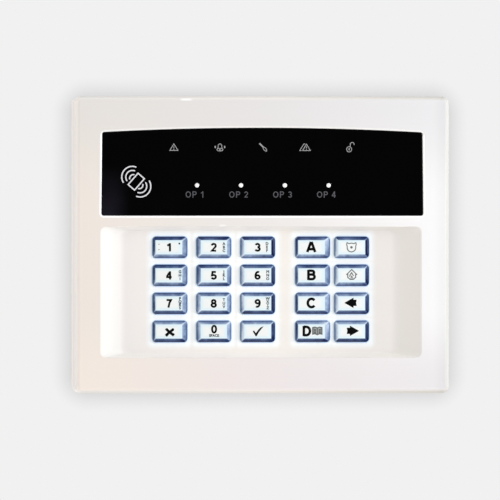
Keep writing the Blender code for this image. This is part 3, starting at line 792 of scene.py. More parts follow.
def key_plastic():
    """Clear blue-edged key whose white face has a faint painted glow. Its bevels carry painted light and
    shade, as if lit from behind the middle of its block: those that lean towards the middle are pale and
    those that lean away are navy."""
    shader = Shader("key_plastic", (0.8, 0.9, 1.0), 0.14)
    x, y, z = shader.places().axes()
    seed = shader.node("ObjectInfo", output="Random") * 40.0
    right, up = shader.math("SIGN", x), shader.math("SIGN", z)
    towards_x, towards_z = towards_block_middle(shader)
    central = 1.0 - abs(towards_x)
    leaning_in = right * towards_x
    right_in_outer = leaning_in * towards_x
    bevel_width = (leaning_in + right_in_outer) * 0.22 + right * 0.08 + central * 0.16 + 1.44
    from_side = (KEY_WIDTH / 2 - abs(x)) / bevel_width
    from_end = (KEY_HEIGHT / 2 - abs(z)) / ((KEY_HEIGHT - KEY_FACE_HEIGHT) / 2)
    inward = from_side.at_most(from_end)
    mitre = from_side - from_end

    side_tone = leaning_in * 0.31 - right_in_outer * 0.15 + central * 0.22 + 0.43
    end_tone = up * towards_z * 0.17 + up * 0.05 + 0.34
    value = side_tone + mitre.span(-0.15, 0.15) * (end_tone - side_tone)
    value = value + inward.span(0.0, 1.0, -0.16, 0.20)
    # Painted highlights along the mitres at the corners
    value = value + abs(mitre).span(0.0, 0.45, 0.32, 0.0) * (right * up).span(-1.0, 1.0, 0.1, 1.0)
    for size, amount in ((7.0, 1.0), (1.1, 0.35)):
        value = value + (shader.noise(size, 2.0, (1.0, 0.3, 1.0), seed) - 0.5) * amount
    blues = ((22, 32, 72), (54, 72, 114), (102, 121, 158), (150, 170, 202), (206, 220, 236))
    bevel = shader.ramp(value, *[(i / 4, tone(*blue)) for i, blue in enumerate(blues)])
    # Painted shade at the bevel's outer edge, beside the gap
    bevel = shader.mix(inward.span(0.0, 0.32, 0.2, 1.0), tone(42, 56, 96), bevel)

    face = shader.mix(inward.span(1.0, 2.2, 0.85, 0.0), (0.86, 0.885, 0.88), tone(212, 236, 247))
    on_face = inward.span(0.96, 1.06)
    foot = KEY_BEVEL_RISE - KEY_FACE
    on_wall = y.span(foot + 0.02, foot + 0.08)
    shader.paint(on_wall, shader.mix(on_face, bevel, face), tone(190, 204, 224))
    shader.wear(shader.noise(3.0, 2.0, seed=seed), 0.10, 0.24)
    shader.set("Specular IOR Level", x.span(3.0, 5.0, 0.5, 0.1))
    # Painted glow on the key's walls in the gap round it, and faintly on its face
    wall_light = on_wall * x.span(-6.0, -5.0, 0.04, 0.26)
    shader.glow(tone(222, 235, 255), wall_light.at_least(on_face * 0.03))
    shader.bump(shader.noise(2.4, 2.0, seed=seed), 0.03)
    return shader.material


def ink(name, colour, roughness=0.45, light=0.0):
    """Screen-printed ink, slightly uneven in density, with a painted glow when light is given."""
    shader = Shader(name, colour, roughness)
    shader.paint(shader.noise(0.6), scaled(colour, 0.8), colour)
    shader.wear(shader.noise(0.8), roughness - 0.06, roughness + 0.08)
    shader.bump(shader.noise(0.15, 2.0), 0.003)
    shader.set("Specular IOR Level", 0.12)
    # A painted glow
    if light:
        shader.glow(colour, light)
    return shader.material


def steel(name, colour, roughness):
    """Machined or drawn metal with fine turning marks."""
    shader = Shader(name, colour, roughness, 1.0)
    marks = shader.noise(0.25, 3.0, (1.0, 1.0, 6.0))
    shader.wear(marks, roughness - 0.08, roughness + 0.12)
    shader.paint(shader.noise(1.5), scaled(colour, 0.75), colour)
    shader.bump(marks, 0.004)
    return shader.material


def moulded(name, colour, roughness):
    """A plain moulded plastic or rubber with a fine grain and slightly uneven colour."""
    shader = Shader(name, colour, roughness)
    shader.paint(shader.noise(5.0, 4.0), colour, tuple(value * 1.25 + 0.01 for value in colour))
    shader.wear(shader.noise(1.5), roughness - 0.08, roughness + 0.08)
    shader.bump(shader.noise(0.3, 2.0), 0.01)
    return shader.material


def board_lacquer():
    """Green solder mask over copper tracks, with the tracks' slight relief."""
    shader = Shader("board_lacquer", (0.02, 0.16, 0.06), 0.32)
    x, _, z = shader.places().axes()
    cells = shader.node("TexVoronoi", {"Vector": shader.places(), "Scale": 1 / 7, "Randomness": 0.0})
    tracks = (cells * 9.0 + x).back_and_forth(1.2).span(0.75, 0.95)
    lanes = (cells * 5.0 + z).back_and_forth(1.6).span(1.15, 1.35)
    copper = tracks.at_least(lanes)
    shader.paint(copper, (0.012, 0.11, 0.04), (0.035, 0.24, 0.08))
    shader.wear(shader.noise(9.0), 0.26, 0.40)
    shader.bump(copper, 0.03)
    return shader.material


def chip_resin():
    """Moulded black chip resin with its fine matt grain."""
    shader = Shader("chip_resin", (0.028, 0.028, 0.03), 0.55)
    shader.paint(shader.noise(0.4, 4.0), (0.02, 0.02, 0.022), (0.05, 0.05, 0.052))
    shader.bump(shader.noise(0.12, 2.0), 0.008)
    return shader.material


def coil_winding():
    """Enamelled copper wire laid in turns round the reader's frame, with painted shade in the grooves between
    turns.
    """
    shader = Shader("coil_winding", (0.72, 0.35, 0.16), 0.3, 1.0)
    low, high = box_mm("proximity_coil")
    x, _, z = shader.places().axes()
    inset_x = (high.x - low.x) / 2 - abs(x - (low.x + high.x) / 2)
    inset_z = (high.z - low.z) / 2 - abs(z - (low.z + high.z) / 2)
    wire = 0.12
    height = inset_x.at_most(inset_z).back_and_forth(wire).span(0.0, wire)
    shader.paint(height, (0.30, 0.10, 0.04), (0.80, 0.40, 0.18))
    shader.bump(height, 0.08)
    return shader.material


def led_resin():
    """Clear epoxy over a pale reflector cup."""
    shader = Shader("led_resin", (0.86, 0.87, 0.80), 0.12)
    shader.paint(shader.noise(0.8), (0.80, 0.80, 0.70), (0.92, 0.93, 0.90))
    shader.set("Coat Weight", 0.6)
    return shader.material


def aluminium_can():
    """Drawn aluminium with a printed stripe down one side."""
    shader = Shader("aluminium_can", (0.75, 0.75, 0.76), 0.28, 1.0)
    right_side = box_mm("capacitor")[1].x
    stripe = shader.places().axes()[0].span(right_side - 2.1, right_side - 1.9)
    shader.paint(stripe, (0.72, 0.72, 0.74), (0.02, 0.02, 0.05))
    shader.set("Metallic", 1.0 - stripe)
    shader.bump(shader.noise(0.3, 2.0, (1.0, 4.0, 1.0)), 0.006)
    return shader.material


# ---------------- case


def cover_shell(finish):
    """The outer skin, rounded over at the front and eased at the seam, less the space inside."""
    sections = [(case_outline(EDGE_BREAK), COVER_BACK), (case_outline(), COVER_BACK + EDGE_BREAK)]
    for step in range(ROUNDING_STEPS + 1):
        angle = math.radians(90 * step / ROUNDING_STEPS)
        inset = FRONT_ROUNDING * (1 - math.cos(angle))
        sections.append((case_outline(inset), CASE_DEPTH - FRONT_ROUNDING * (1 - math.sin(angle))))
    cover = loft("front_cover_shell", finish, sections)

    lap_top = SEAM_DEPTH + LAP_HEIGHT + CLEARANCE
    lap = case_outline(LAP_INSET - CLEARANCE)
    inside = case_outline(WALL)
    hollow = [(lap, SEAM_DEPTH - 1), (lap, lap_top), (inside, lap_top), (inside, CASE_DEPTH - COVER_PLATE)]
    hollow = loft("hollow", finish, hollow)
    pan_back = FLOOR_DEPTH - FLOOR_THICKNESS
    kept = [[(floor_outline(1.2), pan_back), (recess_outline(1.2), pan_back + RECESS_DEPTH)]]
    for boss in BOSSES:
        kept.append(straight(circle(BOSS_RADIUS, boss), BOARD_FRONT + CLEARANCE, CASE_DEPTH - 1))
    carve(hollow, finish, *kept)
    combine(cover, hollow, "DIFFERENCE")
    return cover


def recess_sections():
    """The dish: flat floor, a soft blend up into sloping sides, and a crisp but eased rim."""
    blend = 0.3
    slope = 1 / (1 - blend / 2)
    rim = CASE_DEPTH - 0.12
    floor = floor_outline()
    edge = recess_outline(-0.1)
    sections = []
    for share in (0.0, 0.06, 0.12, 0.18, 0.24, blend, 0.55, 0.8, 1.0):
        climbed = slope * (share**2 / (2 * blend) if share < blend else share - blend / 2)
        sections.append((between(floor, edge, share), FLOOR_DEPTH + climbed * (rim - FLOOR_DEPTH)))
    sections.append((recess_outline(0.0), CASE_DEPTH - 0.04))
    sections.append((recess_outline(0.2), CASE_DEPTH))
    sections.append((recess_outline(0.2), CASE_DEPTH + 1))
    return sections


def front_cover(finish, rim_finish):
    cover = cover_shell(finish)
    above = CASE_DEPTH + 1
    opening = window(-WINDOW_GAP)
    chamfered = window(-WINDOW_GAP - WINDOW_CHAMFER)
    ledge = window(WINDOW_LEDGE)
    ledge_depth = LENS_BACK - 0.2
    window_cut = [(ledge, ledge_depth - 2), (ledge, ledge_depth), (opening, ledge_depth)]
    window_cut += [(opening, LENS_FRONT), (chamfered, CASE_DEPTH), (chamfered, above)]
    carve(cover, rim_finish, window_cut)
    carve(cover, finish, recess_sections())

    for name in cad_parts:
        if name.startswith("key_"):
            hole = []
            for grow, below_floor in ((0.0, 3.0), (0.0, 0.2), (0.08, 0.06), (0.2, 0.0)):
                gap = KEY_GAP + grow
                width, height = KEY_WIDTH + 2 * gap, KEY_HEIGHT + 2 * gap
                outline = rounded(width, height, KEY_CORNER + gap, node_middle(name), 4)
                hole.append((outline, FLOOR_DEPTH - below_floor))
            hole.append((outline, FLOOR_DEPTH + 0.5))
            carve(cover, finish, hole)

    pilots = []
    for boss in BOSSES:
        pilots.append(straight(circle(PILOT_RADIUS, boss, 16), BOARD_FRONT - 1, CASE_DEPTH - 4))
    carve(cover, finish, *pilots)
    screw_cuts = []
    pockets = []
    for side in (-1, 1):
        centre = (side * CATCH_X, -CATCH_DEPTH)
        mouth, head, shank = (circle(radius, centre) for radius in SCREW_HOLE_RADII)
        screw_cuts.append([
            (mouth, CASE_BOTTOM - 1), (mouth, CASE_BOTTOM), (head, CASE_BOTTOM + 0.25),
            (head, CASE_BOTTOM + 1.3), (shank, CASE_BOTTOM + 1.3), (shank, CASE_BOTTOM + 3.2),
        ])
        pocket = rounded(*HOOK_POCKET, 0.3, (side * CATCH_X, CASE_HEIGHT / 2 - 2.15))
        pockets.append(straight(pocket, HOOK_DEPTH - 0.3, HOOK_DEPTH + 2.3))
    carve(cover, finish, *screw_cuts, facing=FACING_UP)
    carve(cover, finish, *pockets)
    place(smooth(cover), CASE_BODY, "front_cover", slot="case_white")


def rounded_at(width, height, centre, corner):
    """A function that gives a rounded rectangle grown by a margin."""
    return lambda grow: rounded(width + 2 * grow, height + 2 * grow, corner + grow, centre)


def eased_post(outline, eased, root, top, ease=0.3):
    """A post whose top edge is eased."""
    return [(outline, root), (outline, top - ease), (eased, top)]


def rear_posts(finish, tamper):
    """What stands up from the wall plate: screw lugs, hooks, the tamper guide and the cable entry's rim."""
    inside = CASE_HEIGHT / 2 - WALL
    root = BASE_PLATE - 1
    entry = rounded_at(ENTRY_WIDTH, ENTRY_HEIGHT, (0.0, ENTRY_Z), 0.0)
    posts = [eased_post(entry(2.0), entry(1.7), root, BASE_PLATE + 2)]
    posts.append(eased_post(circle(5.7, tamper), circle(5.4, tamper), root, BASE_PLATE + 5.5))
    for side in (-1, 1):
        lug = rounded_at(8, 7.6, (side * CATCH_X, -inside + CLEARANCE + 3.8), 0.8)
        posts.append(eased_post(lug(0.0), lug(-0.3), root, CATCH_DEPTH + 4))
        hook_root = rounded(10, 3, 0.3, (side * CATCH_X, inside - 1.8))
        hook_lip = rounded(9.6, 4, 0.3, (side * CATCH_X, inside - 1.1))
        hook_tip = rounded(9.2, 3.2, 0.3, (side * CATCH_X, inside - 1.3))
        hook = [(hook_root, root), (hook_root, HOOK_DEPTH), (hook_lip, HOOK_DEPTH)]
        posts.append(hook + [(hook_lip, HOOK_DEPTH + 0.6), (hook_tip, HOOK_DEPTH + 1.8)])
    return loft("posts", finish, *posts)


def eased_hole(outline_at, back, front, ease=0.3):
    """A hole whose mouth in the back face is eased. outline_at gives its outline grown by a margin."""
    mouth, throat = outline_at(ease), outline_at(0.0)
    return [(mouth, back - 1), (mouth, back), (throat, back + ease), (throat, front)]


def rear_case(finish):
    tamper = node_middle("tamper_plunger")
    lap = case_outline(LAP_INSET)
    lap_top = SEAM_DEPTH + LAP_HEIGHT
    back_rounding = ((0.6, 0.0), (0.35, 0.08), (0.1, 0.32), (0.0, 0.6))
    outside = [(case_outline(inset), depth) for inset, depth in back_rounding]
    outside += [(case_outline(), SEAM_DEPTH - EDGE_BREAK), (case_outline(EDGE_BREAK), SEAM_DEPTH)]
    outside += [(lap, SEAM_DEPTH), (lap, lap_top - 0.2), (case_outline(LAP_INSET + 0.2), lap_top)]
    case = loft("rear_case_shell", finish, outside)
    carve(case, finish, straight(case_outline(WALL), BASE_PLATE, 20))
    fuse([case, rear_posts(finish, tamper)])

    above = BASE_PLATE + 3.5
    entry = rounded(ENTRY_WIDTH, ENTRY_HEIGHT, 1.5, (0.0, ENTRY_Z))
    carve(case, finish, straight(entry, -1, above))
    narrow = circle(PLUNGER_RADIUS + CLEARANCE, tamper)
    wide = circle(PLUNGER_FLANGE_RADIUS + CLEARANCE, tamper)
    carve(case, finish, [(narrow, -1), (narrow, 2.4), (wide, 2.4), (wide, 9)])
    cable_groove = rounded(12, 34, 1, (0.0, -44))
    carve(case, finish, straight(cable_groove, -1, 1))
    for side in (-1, 1):
        x = side * FIXING_X
        keyhole_head = eased_hole(lambda grow: circle(KEYHOLE_HEAD / 2 + grow, (x, FIXING_Z - 5)), 0, above)
        carve(case, finish, keyhole_head)
        for width, height, middle in (
            (SCREW_SLOT, 10, (x, FIXING_Z - 2.75)),
            (SCREW_SLOT, 9, (x, -FIXING_Z)),
            (8, SCREW_SLOT, (side * GANG_X, 0)),
        ):
            slot = rounded_at(width, height, middle, SCREW_SLOT / 2 - 0.01)
            carve(case, finish, eased_hole(slot, 0, above))

    pilots = [circle(LUG_PILOT_RADIUS, (side * CATCH_X, -CATCH_DEPTH), 16) for side in (-1, 1)]
    pilots = [straight(pilot, CASE_BOTTOM + 2, CASE_BOTTOM + 9.5) for pilot in pilots]
    carve(case, finish, *pilots, facing=FACING_UP)
    place(smooth(case), CASE_BODY, "rear_case", slot="rear_white")


def display_window(finish):
    sections = [(window(0.15), LENS_BACK), (window(), LENS_BACK + 0.15), (window(), LENS_FRONT - 0.25)]
    for share in (0.35, 0.7, 1.0):
        angle = math.radians(90 * share)
        inset = 0.25 * (1 - math.cos(angle))
        sections.append((window(inset), LENS_FRONT - 0.25 * (1 - math.sin(angle))))
    place(smooth(loft("window_lens", finish, sections)), CASE_BODY, "display_window", slot="window_black")


def cover_screws(finish):
    """Two pan-head screws that come up through the bottom wall into the rear case's lugs."""
    for name in ("cover_screw_left", "cover_screw_right"):
        low, high = box_mm(name)
        centre = ((low.x + high.x) / 2, (low.y + high.y) / 2)
        body = [
            (circle(radius, centre), low.z + rise)
            for radius, rise in (
                (1.5, 0.0), (2.1, 0.06), (2.5, 0.22), (2.72, 0.5),
                (2.75, 0.8), (2.7, 1.0), (1.05, 1.0), (1.05, 2.4),
            )
        ]
        pitch = 0.9
        turns = int((high.z - low.z - 3.2) / pitch)
        root, crest = circle(0.8, centre), circle(1.05, centre)
        for turn in range(turns):
            foot = low.z + 2.4 + turn * pitch
            body += [(root, foot + 0.1), (crest, foot + 0.4), (crest, foot + 0.5)]
        body += [(root, high.z - 0.5), (circle(0.3, centre), high.z)]
        screw = loft(name + "_threaded", finish, body, facing=FACING_UP)
        recess = moved(cross(3.0, 0.7), centre)
        carve(screw, finish, straight(recess, low.z - 1, low.z + 0.6), facing=FACING_UP)
        place(smooth(screw), CASE_BODY, name, slot="steel")


# ---------------- keys


KEY_COLUMNS = (
    [node_middle(name)[0] for name in KEY_ROWS[0][:3]],
    [node_middle(name)[0] for name in KEY_ROWS[0][3:]],
)
TOP_ROW = node_middle(KEY_ROWS[0][0])[1]
ROW_PITCH = TOP_ROW - node_middle(KEY_ROWS[1][0])[1]


def key_sections():
    """Stem, flange and cap, whose bevel is a shallow quarter round up to its flat face."""
    flange_front = FLOOR_DEPTH - FLOOR_THICKNESS - 0.2
    flange_back = flange_front - FLANGE_THICKNESS
    stem = rounded(STEM_WIDTH, STEM_HEIGHT, 0.8)
    flange = rounded(FLANGE_WIDTH, FLANGE_HEIGHT, 1.8)
    cap = rounded(KEY_WIDTH, KEY_HEIGHT, KEY_CORNER)
    face = rounded(KEY_FACE_WIDTH, KEY_FACE_HEIGHT, 0.9)
    sections = [(stem, STEM_END), (stem, flange_back), (flange, flange_back)]
    sections += [(flange, flange_front), (cap, flange_front)]
    bevel_foot = KEY_FACE - KEY_BEVEL_RISE
    for share in (0.0, 0.04, 0.12, 0.3, 0.5, 0.7, 0.86, 0.95, 1.0):
        rise = KEY_BEVEL_RISE * math.sin(math.radians(90 * share)) ** 0.8
        sections.append((between(cap, face, share), bevel_foot + rise))
    return sections


def keys(finish):
    sections = key_sections()
    for row in KEY_ROWS:
        for name in row:
            cap = smooth(loft(name + "_cap", finish, sections), 50)
            x, z = node_middle(name)
            cap.location = (x * MM, 0.0, z * MM)
            place(cap, name, name, slot="key_clear")


LETTERS = {
    "key_2": "ABC", "key_3": "DEF", "key_4": "GHI", "key_5": "JKL",
    "key_6": "MNO", "key_7": "PQRS", "key_8": "TUV", "key_9": "WXYZ",
}
ARROW = [
    (2.6, 0.0), (-1.0, 2.02), (-1.0, 1.2), (-2.25, 1.2),
    (-2.0, 0.0), (-2.25, -1.2), (-1.0, -1.2), (-1.0, -2.02),
]
TICK = [
    (-2.15, 0.0), (-1.65, 0.4), (-0.95, -0.7), (0.1, 0.75), (1.0, 1.6), (2.15, 2.0),
    (1.2, 0.95), (0.2, -0.35), (-0.6, -1.8), (-0.85, -1.95), (-1.2, -1.65), (-1.6, -0.85),
]
CROSS_ARM = [
    (-2.1, -0.5), (-1.9, -0.7), (0.0, -0.42), (1.7, -0.6),
    (2.05, -0.3), (2.05, 0.42), (0.0, 0.55), (-2.1, 0.45),
]
SHIELD = [
    loop((-1.75, 1.7), (-0.9, 1.35), (0.0, 1.55), (0.9, 1.35), (1.75, 1.7), (1.9, 1.0), (1.65, 0.2),
         *arc((0.0, -0.2), 1.7, 0, -180, 12), (-1.65, 0.2), (-1.9, 1.0)),
    disc(0.5, (0.0, -0.1), 12),
]
HOUSE = [
    line((-2.1, -0.1), (0.0, 1.95), (2.1, -0.1)),
    line((-1.55, 0.2), (-1.55, -1.1), (-0.6, -1.9), (0.6, -1.9), (1.55, -1.1), (1.55, 0.2)),
    line((-0.8, -0.9), (-0.55, 0.1), (0.0, 0.75), (0.35, 0.0), (0.8, -0.5)),
    line((-0.35, -1.6), (0.0, -0.6), (0.45, -1.6)),
]
BOOK = [
    loop((-1.75, 1.25), (-0.9, 1.4), (0.0, 1.1), (0.9, 1.4), (1.75, 1.25),
         (1.75, -1.2), (0.9, -1.05), (0.0, -1.45), (-0.9, -1.05), (-1.75, -1.2)),
    line((0.0, 1.1), (0.0, -1.45)),
    *[line((side * 1.4, z), (side * 0.4, z - 0.15)) for side in (-1, 1) for z in (0.7, 0.1, -0.5)],
]


def legends(black, dark_grey, soft_grey):
    """What is printed on each key. Every legend rides on its own key."""
    digit = {"height": 3.25, "stretch": 1.22}
    letter = {"height": 4.0, "stretch": 1.25}

    def print_on(key, strokes, width, offset=(0.0, 0.0), finish=black, part="legend", turn=0.0):
        centre = moved([offset], node_middle(key))[0]
        place(mark(f"{key}_{part}", finish, strokes, width, centre, KEY_FACE, turn), key)

    def type_on(key, text, offset, height, pitch=None):
        centre = moved([offset], node_middle(key))[0]
        place(small_text(f"{key}_letters", dark_grey, text, height, centre, KEY_FACE, pitch), key)

    for number in "123456789":
        aside = -0.45 if number in "147" else -0.15
        print_on(f"key_{number}", word_strokes(number, **digit), 0.76, (aside, 0.0))
    print_on("key_0", word_strokes("0", **digit), 0.76, (0.0, 0.9))
    for name in "ABC":
        print_on(f"key_{name.lower()}", word_strokes(name, **letter), 1.0, (-0.65, 0.15))
    print_on("key_d", word_strokes("D", **letter), 1.0, (-2.4, 0.15))
    print_on("key_d", BOOK, 0.56, (1.75, 0.2), soft_grey, "book")
    print_on("key_shield", SHIELD, 0.36, (-0.2, 0.1), soft_grey)
    print_on("key_house", HOUSE, 0.38, (-0.1, 0.3), soft_grey)
    print_on("key_right", [patch(*ARROW)], 0.0, (0.2, 0.2))
    print_on("key_left", [patch(*ARROW)], 0.0, (-0.4, 0.2), turn=180)
    print_on("key_enter", [patch(*TICK)], 0.0, (0.1, 0.0))
    arms = [patch(*moved(CROSS_ARM, turn=angle)) for angle in (40, 140)]
    print_on("key_cancel", arms, 0.0, (-0.2, -0.25))

    for key, letters in LETTERS.items():
        aside = 3.55 if key == "key_3" else 3.85
        type_on(key, letters, (aside, 0.0), 1.08, 1.22 if len(letters) == 4 else 1.38)
    type_on("key_0", "SPACE", (0.0, -1.65), 1.0)
    punctuation = [disc(0.36, (3.6, 1.45), 10), disc(0.2, (-4.4, 1.2), 8), disc(0.2, (-4.4, -0.9), 8)]
    print_on("key_1", punctuation, 0.0, finish=dark_grey, part="punctuation")


# ---------------- marks on the window

WARNING = [
    loop((-1.6, -1.25), (1.6, -1.25), (0.0, 1.35)),
    line((0.0, 0.45), (0.0, -0.4)),
    disc(0.2, (0.0, -0.82), 8),
]
SIREN = [
    line((-0.95, -0.5), (-0.7, 0.0), *arc((0.0, 0.62), 0.7, 180, 0), (0.7, 0.0), (0.95, -0.5)),
    ring((0.0, -0.95), 1.2, 0.5, 18),
    disc(0.3, (0.0, -1.0), 10),
    ring((-1.85, 0.1), 0.28, 0.5, 10, "patch"),
    ring((1.85, 0.1), 0.28, 0.5, 10, "patch"),
]
SCREWDRIVER = [
    patch((-1.75, 1.35), (-1.3, 1.75), (0.2, 0.15), (-0.15, -0.15)),
    loop(*moved(oval((0.0, 0.0), 1.0, 0.45, 0, 360, 16)[:-1], (0.62, -0.72), -50)),
]
HAZARDS = [
    loop((-0.95, -1.25), (2.1, -1.25), (0.55, 1.3)),
    line((0.55, 0.4), (0.55, -0.4)),
    disc(0.18, (0.55, -0.82), 8),
    line((-1.4, -1.25), (-2.1, -1.25), (-0.45, 1.35), (0.1, 1.35)),
]
PADLOCK = [
    ring((-0.55, -0.75), 0.98, 1.03, 20),
    line((-0.12, 0.2), (-0.08, 1.2), *arc((0.68, 1.2), 0.76, 180, -15)),
    disc(0.3, (-0.55, -0.62), 10),
    line((-0.55, -0.7), (-0.55, -1.25)),
]
# Each icon's strokes, and how far it sits to the right of its light
ICONS = (
    ("warning", WARNING, -0.65),
    ("siren", SIREN, 0.2),
    ("tamper", SCREWDRIVER, 0.0),
    ("faults", HAZARDS, -0.85),
    ("unset", PADLOCK, -0.2),
)
OUTPUT_SHIFT = -0.36


def indicator_marks(icon_ink, label_ink, lens_finish):
    """The icon over each small light, and a clear dot with its label over each output light."""
    for number, (name, strokes, aside) in enumerate(ICONS, start=1):
        x, z = node_middle(f"led_icon_{number}")
        place(mark(f"icon_{name}", icon_ink, strokes, 0.26, (x + aside, z), LENS_FRONT), CASE_BODY)
    for number in range(1, 5):
        x, z = node_middle(f"led_output_{number}")
        x += OUTPUT_SHIFT
        dome = [
            (circle(radius, (x, z), 24), LENS_FRONT + rise)
            for radius, rise in ((0.86, -0.01), (0.83, 0.06), (0.6, 0.14), (0.3, 0.18))
        ]
        place(smooth(loft(f"output_dot_{number}", lens_finish, dome), 60), CASE_BODY)
        label = word_strokes(f"OP {number}", 2.5, 1.12, space=0.4)
        under = (x - 0.9, z - 3.6)
        place(mark(f"output_label_{number}", label_ink, label, 0.36, under, LENS_FRONT), CASE_BODY)


def tag_symbol(finish):
    """A tag with radio waves off both its long sides, over the reader's coil."""
    coil_x, coil_z = node_middle("proximity_coil")
    tag = moved([(-1.65, -2.95), (1.65, -2.95), (1.65, 2.95), (-1.65, 2.95)], turn=-41)
    strokes = [loop(*tag)]
    for centre, radius, start, end in (
        ((-1.55, 1.85), 4.15, 68, 213),
        ((-1.5, 1.8), 2.6, 67, 216),
        ((-1.15, 1.3), 1.45, 72, 196),
    ):
        wave = arc(centre, radius, start, end, 16)
        strokes += [line(*wave), line(*moved(wave, turn=180))]
    place(mark("tag_symbol", finish, strokes, 0.48, (coil_x - 0.6, coil_z - 0.3), LENS_FRONT), CASE_BODY)


# ---------------- tamper plunger


def tamper_plunger(finish):
    low, high = box_mm("tamper_plunger")
    foot, tip = -high.y, -low.y
    flange = 5.2
    profile = [(1.7, foot), (2.3, foot + 0.12), (PLUNGER_RADIUS, foot + 0.5), (PLUNGER_RADIUS, flange)]
    profile += [(PLUNGER_FLANGE_RADIUS - 0.15, flange), (PLUNGER_FLANGE_RADIUS, flange + 0.15)]
    profile += [(PLUNGER_FLANGE_RADIUS, flange + 1.05), (PLUNGER_FLANGE_RADIUS - 0.15, flange + 1.2)]
    profile += [(1.5, flange + 1.2), (1.5, tip - 0.5), (1.3, tip - 0.15), (0.9, tip)]
    body = [(circle(radius, node_middle("tamper_plunger")), depth) for radius, depth in profile]
    plunger = smooth(loft("tamper_plunger_turned", finish, body))
    place(plunger, "tamper_plunger", "tamper_plunger", slot="plunger_grey")


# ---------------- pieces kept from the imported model


def dress(names, finish):
    for name in names:
        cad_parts[name].material_slots[0].material = finish


def inner_pieces():
    zinc = steel("zinc_plate", (0.66, 0.66, 0.64), 0.30)
    dress([f"board_screw_{i}" for i in range(1, 5)] + [f"terminal_screw_{i}" for i in range(1, 5)], zinc)
    dress(["tamper_spring"], steel("spring_wire", (0.58, 0.58, 0.60), 0.24))
    dress(["keypad_mat"], moulded("mat_rubber", (0.62, 0.66, 0.70), 0.6))
    dress(["main_board"], board_lacquer())
    dress(["microcontroller", "bus_driver", "reader_chip", "voltage_regulator"], chip_resin())
    dress(["sounder", "tamper_switch"], moulded("sounder_case", (0.02, 0.02, 0.022), 0.42))
    dress(["led_shroud"], moulded("shroud_plastic", (0.016, 0.016, 0.016), 0.62))
    dress(["terminal_block"], moulded("terminal_nylon", (0.03, 0.30, 0.11), 0.42))
    dress(["proximity_coil"], coil_winding())
    dress(["capacitor"], aluminium_can())
    dress([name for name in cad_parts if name.startswith("led_") and name != "led_shroud"], led_resin())


# ---------------- stage, light and camera

BACKDROP = 0.879
# The painted shade round the keypad: its depth, its reach, its corner radius and the shift that widens it on
# the right
HALO_DEPTH = 0.19
HALO_REACH = 8.5
HALO_CORNER = 7.0
HALO_SHIFT = 1.1
CAMERA_AZIMUTH = math.radians(-4.2)
CAMERA_DISTANCE = 3.0
FRAME_WIDTH = 0.196
AIM_RIGHT = -3.86
AIM_UP = -2.06
SENSOR = 36.0


def wall_with_hole():
    """The wall behind the keypad, open behind it so that its back is lit too."""
    hole = case_outline(0.7)
    reach = 500.0
    sheet = [(x / abs(x) * reach if abs(x) > 1 else 0.0, z / abs(z) * reach) for x, z in hole]
    count = len(hole)
    points = [Vector((x, 0.2, z)) for x, z in hole] + [Vector((x, 0.2, z)) for x, z in sheet]
    faces = [(i, i + count, (i + 1) % count + count, (i + 1) % count) for i in range(count)]
    return points, faces


def stage_paper():
    """Even pale paper with a painted soft halo of shade round the keypad, and seen only from its front."""
    shader = Shader("stage_paper", (0.0, 0.0, 0.0), 1.0)
    x, _, z = shader.places().axes()
    past_side = abs(x - HALO_SHIFT) - (CASE_WIDTH / 2 + HALO_SHIFT - HALO_CORNER)
    past_end = abs(z) - (CASE_HEIGHT / 2 - HALO_CORNER)
    away = (outside_box(past_side, past_end) - HALO_CORNER).at_least(0.0)
    shade = (1.0 - away / HALO_REACH).at_least(0.0) ** 1.5
    light = shader.node("Emission", {"Strength": BACKDROP - shade * HALO_DEPTH})
    from_behind = shader.node("NewGeometry", output="Backfacing")
    shown = shader.node("MixShader", {0: from_behind, 1: light, 2: shader.node("BsdfTransparent")})
    shader.feed(shader.tree.nodes["Material Output"].inputs["Surface"], shown)
    return shader.material


def stage():
    paper = stage_paper()
    points, faces = wall_with_hole()
    wall = add("wall", points, faces, paper)
    floor_level = -450.0
    reach = 4000.0
    corners = [Vector((x * reach, y * reach, floor_level)) for x, y in ((-1, -1), (1, -1), (1, 1), (-1, 1))]
    floor = add("floor", corners, [(0, 1, 2, 3)], paper)


AMBIENT = (0.33, 0.32, 0.305)
REFLECTED = (0.10, 0.10, 0.10)


def studio_world():
    """Warm even light from all round. Reflections see a darker room, and the camera a pale backdrop."""
    world = bpy.data.worlds.new("studio")
    bpy.context.scene.world = world
    world.use_nodes = True
    nodes = Nodes(world.node_tree)
    seen = AMBIENT
    for ray, colour in (("Is Glossy Ray", REFLECTED), ("Is Camera Ray", (BACKDROP,) * 3)):
        seen = nodes.mix(nodes.node("LightPath", output=ray), seen, colour)
    nodes.feed(world.node_tree.nodes["Background"].inputs["Color"], seen)


# Soft boxes: name, azimuth and elevation in degrees, distance and size in metres, watts, colour
SOFT_BOXES = (
    ("key_light", 60, 12, 1.3, 0.7, 13.6, (0.97, 0.99, 1.0)),
    ("side_light", -84, 4, 1.3, 0.7, 7.6, (1.0, 0.88, 0.79)),
    ("upper_light", 0, 60, 1.2, 0.6, 2.6, (1.0, 0.98, 0.96)),
    ("lower_light", 0, -80, 0.42, 0.2, 0.2, (1.0, 0.78, 0.5)),
    ("back_light_left", 150, 35, 1.4, 0.8, 7.0, (1.0, 0.98, 0.96)),
    ("back_light_right", 215, 20, 1.4, 0.8, 4.0, (0.96, 0.98, 1.0)),
)


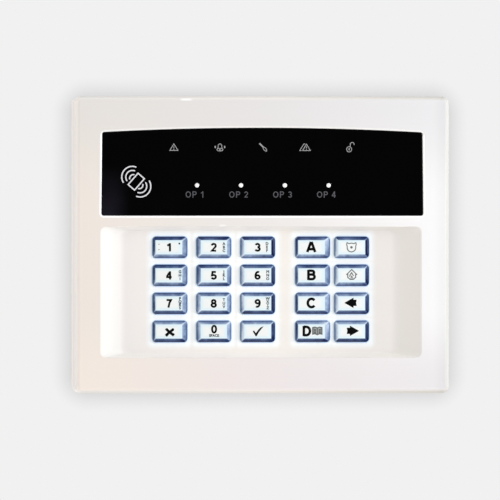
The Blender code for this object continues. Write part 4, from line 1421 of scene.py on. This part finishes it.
def aimed(name, data, target, away, distance):
    """A light or camera that stands off from the target in the direction away, and faces it."""
    made = show(name, data)
    made.location = target + away * distance
    made.rotation_euler = away.to_track_quat("Z", "Y").to_euler()
    return made


def soft_boxes():
    for name, azimuth, elevation, distance, size, watts, colour in SOFT_BOXES:
        data = bpy.data.lights.new(name, "AREA")
        data.shape = "DISK"
        data.size = size
        data.energy = watts
        data.color = colour
        a, e = math.radians(azimuth), math.radians(elevation)
        away = Vector((math.sin(a) * math.cos(e), -math.cos(a) * math.cos(e), math.sin(e)))
        light = aimed(name, data, CAD_MIDDLE, away, distance)
        light.visible_camera = False
        light.visible_glossy = name == "key_light"


def camera():
    """A long lens, slightly left of straight on, with the keypad a little right of and above the middle."""
    right = Vector((math.cos(CAMERA_AZIMUTH), math.sin(CAMERA_AZIMUTH), 0.0))
    aim = CAD_MIDDLE + right * AIM_RIGHT * MM + Vector((0.0, 0.0, AIM_UP * MM))
    away = Vector((math.sin(CAMERA_AZIMUTH), -math.cos(CAMERA_AZIMUTH), 0.0))
    data = bpy.data.cameras.new("camera")
    data.sensor_width = SENSOR
    data.lens = SENSOR * (CAMERA_DISTANCE - CASE_DEPTH / 2 * MM) / FRAME_WIDTH
    data.clip_end = 20.0
    bpy.context.scene.camera = aimed("camera", data, aim, away, CAMERA_DISTANCE)


def main():
    black = ink("ink_black", tone(3, 3, 5))
    dark_grey = ink("ink_dark_grey", tone(50, 57, 64))
    soft_grey = ink("ink_soft_grey", tone(112, 116, 116))
    front_cover(case_plastic(), rim_white())
    rear_case(rear_plastic())
    display_window(window_gloss())
    cover_screws(steel("screw_zinc", (0.66, 0.66, 0.64), 0.28))
    keys(key_plastic())
    legends(black, dark_grey, soft_grey)
    indicator_marks(
        ink("ink_icon", tone(165, 165, 168)),
        ink("ink_label", tone(92, 92, 98)),
        # The clear dots get a painted glow
        ink("dot_lens", tone(245, 245, 245), 0.2, 0.1),
    )
    tag_symbol(ink("ink_white", tone(232, 232, 238)))
    tamper_plunger(moulded("plunger_acetal", (0.50, 0.50, 0.50), 0.42))
    inner_pieces()
    stage()
    studio_world()
    soft_boxes()
    camera()
    bpy.context.scene.view_settings.view_transform = "Standard"


main()
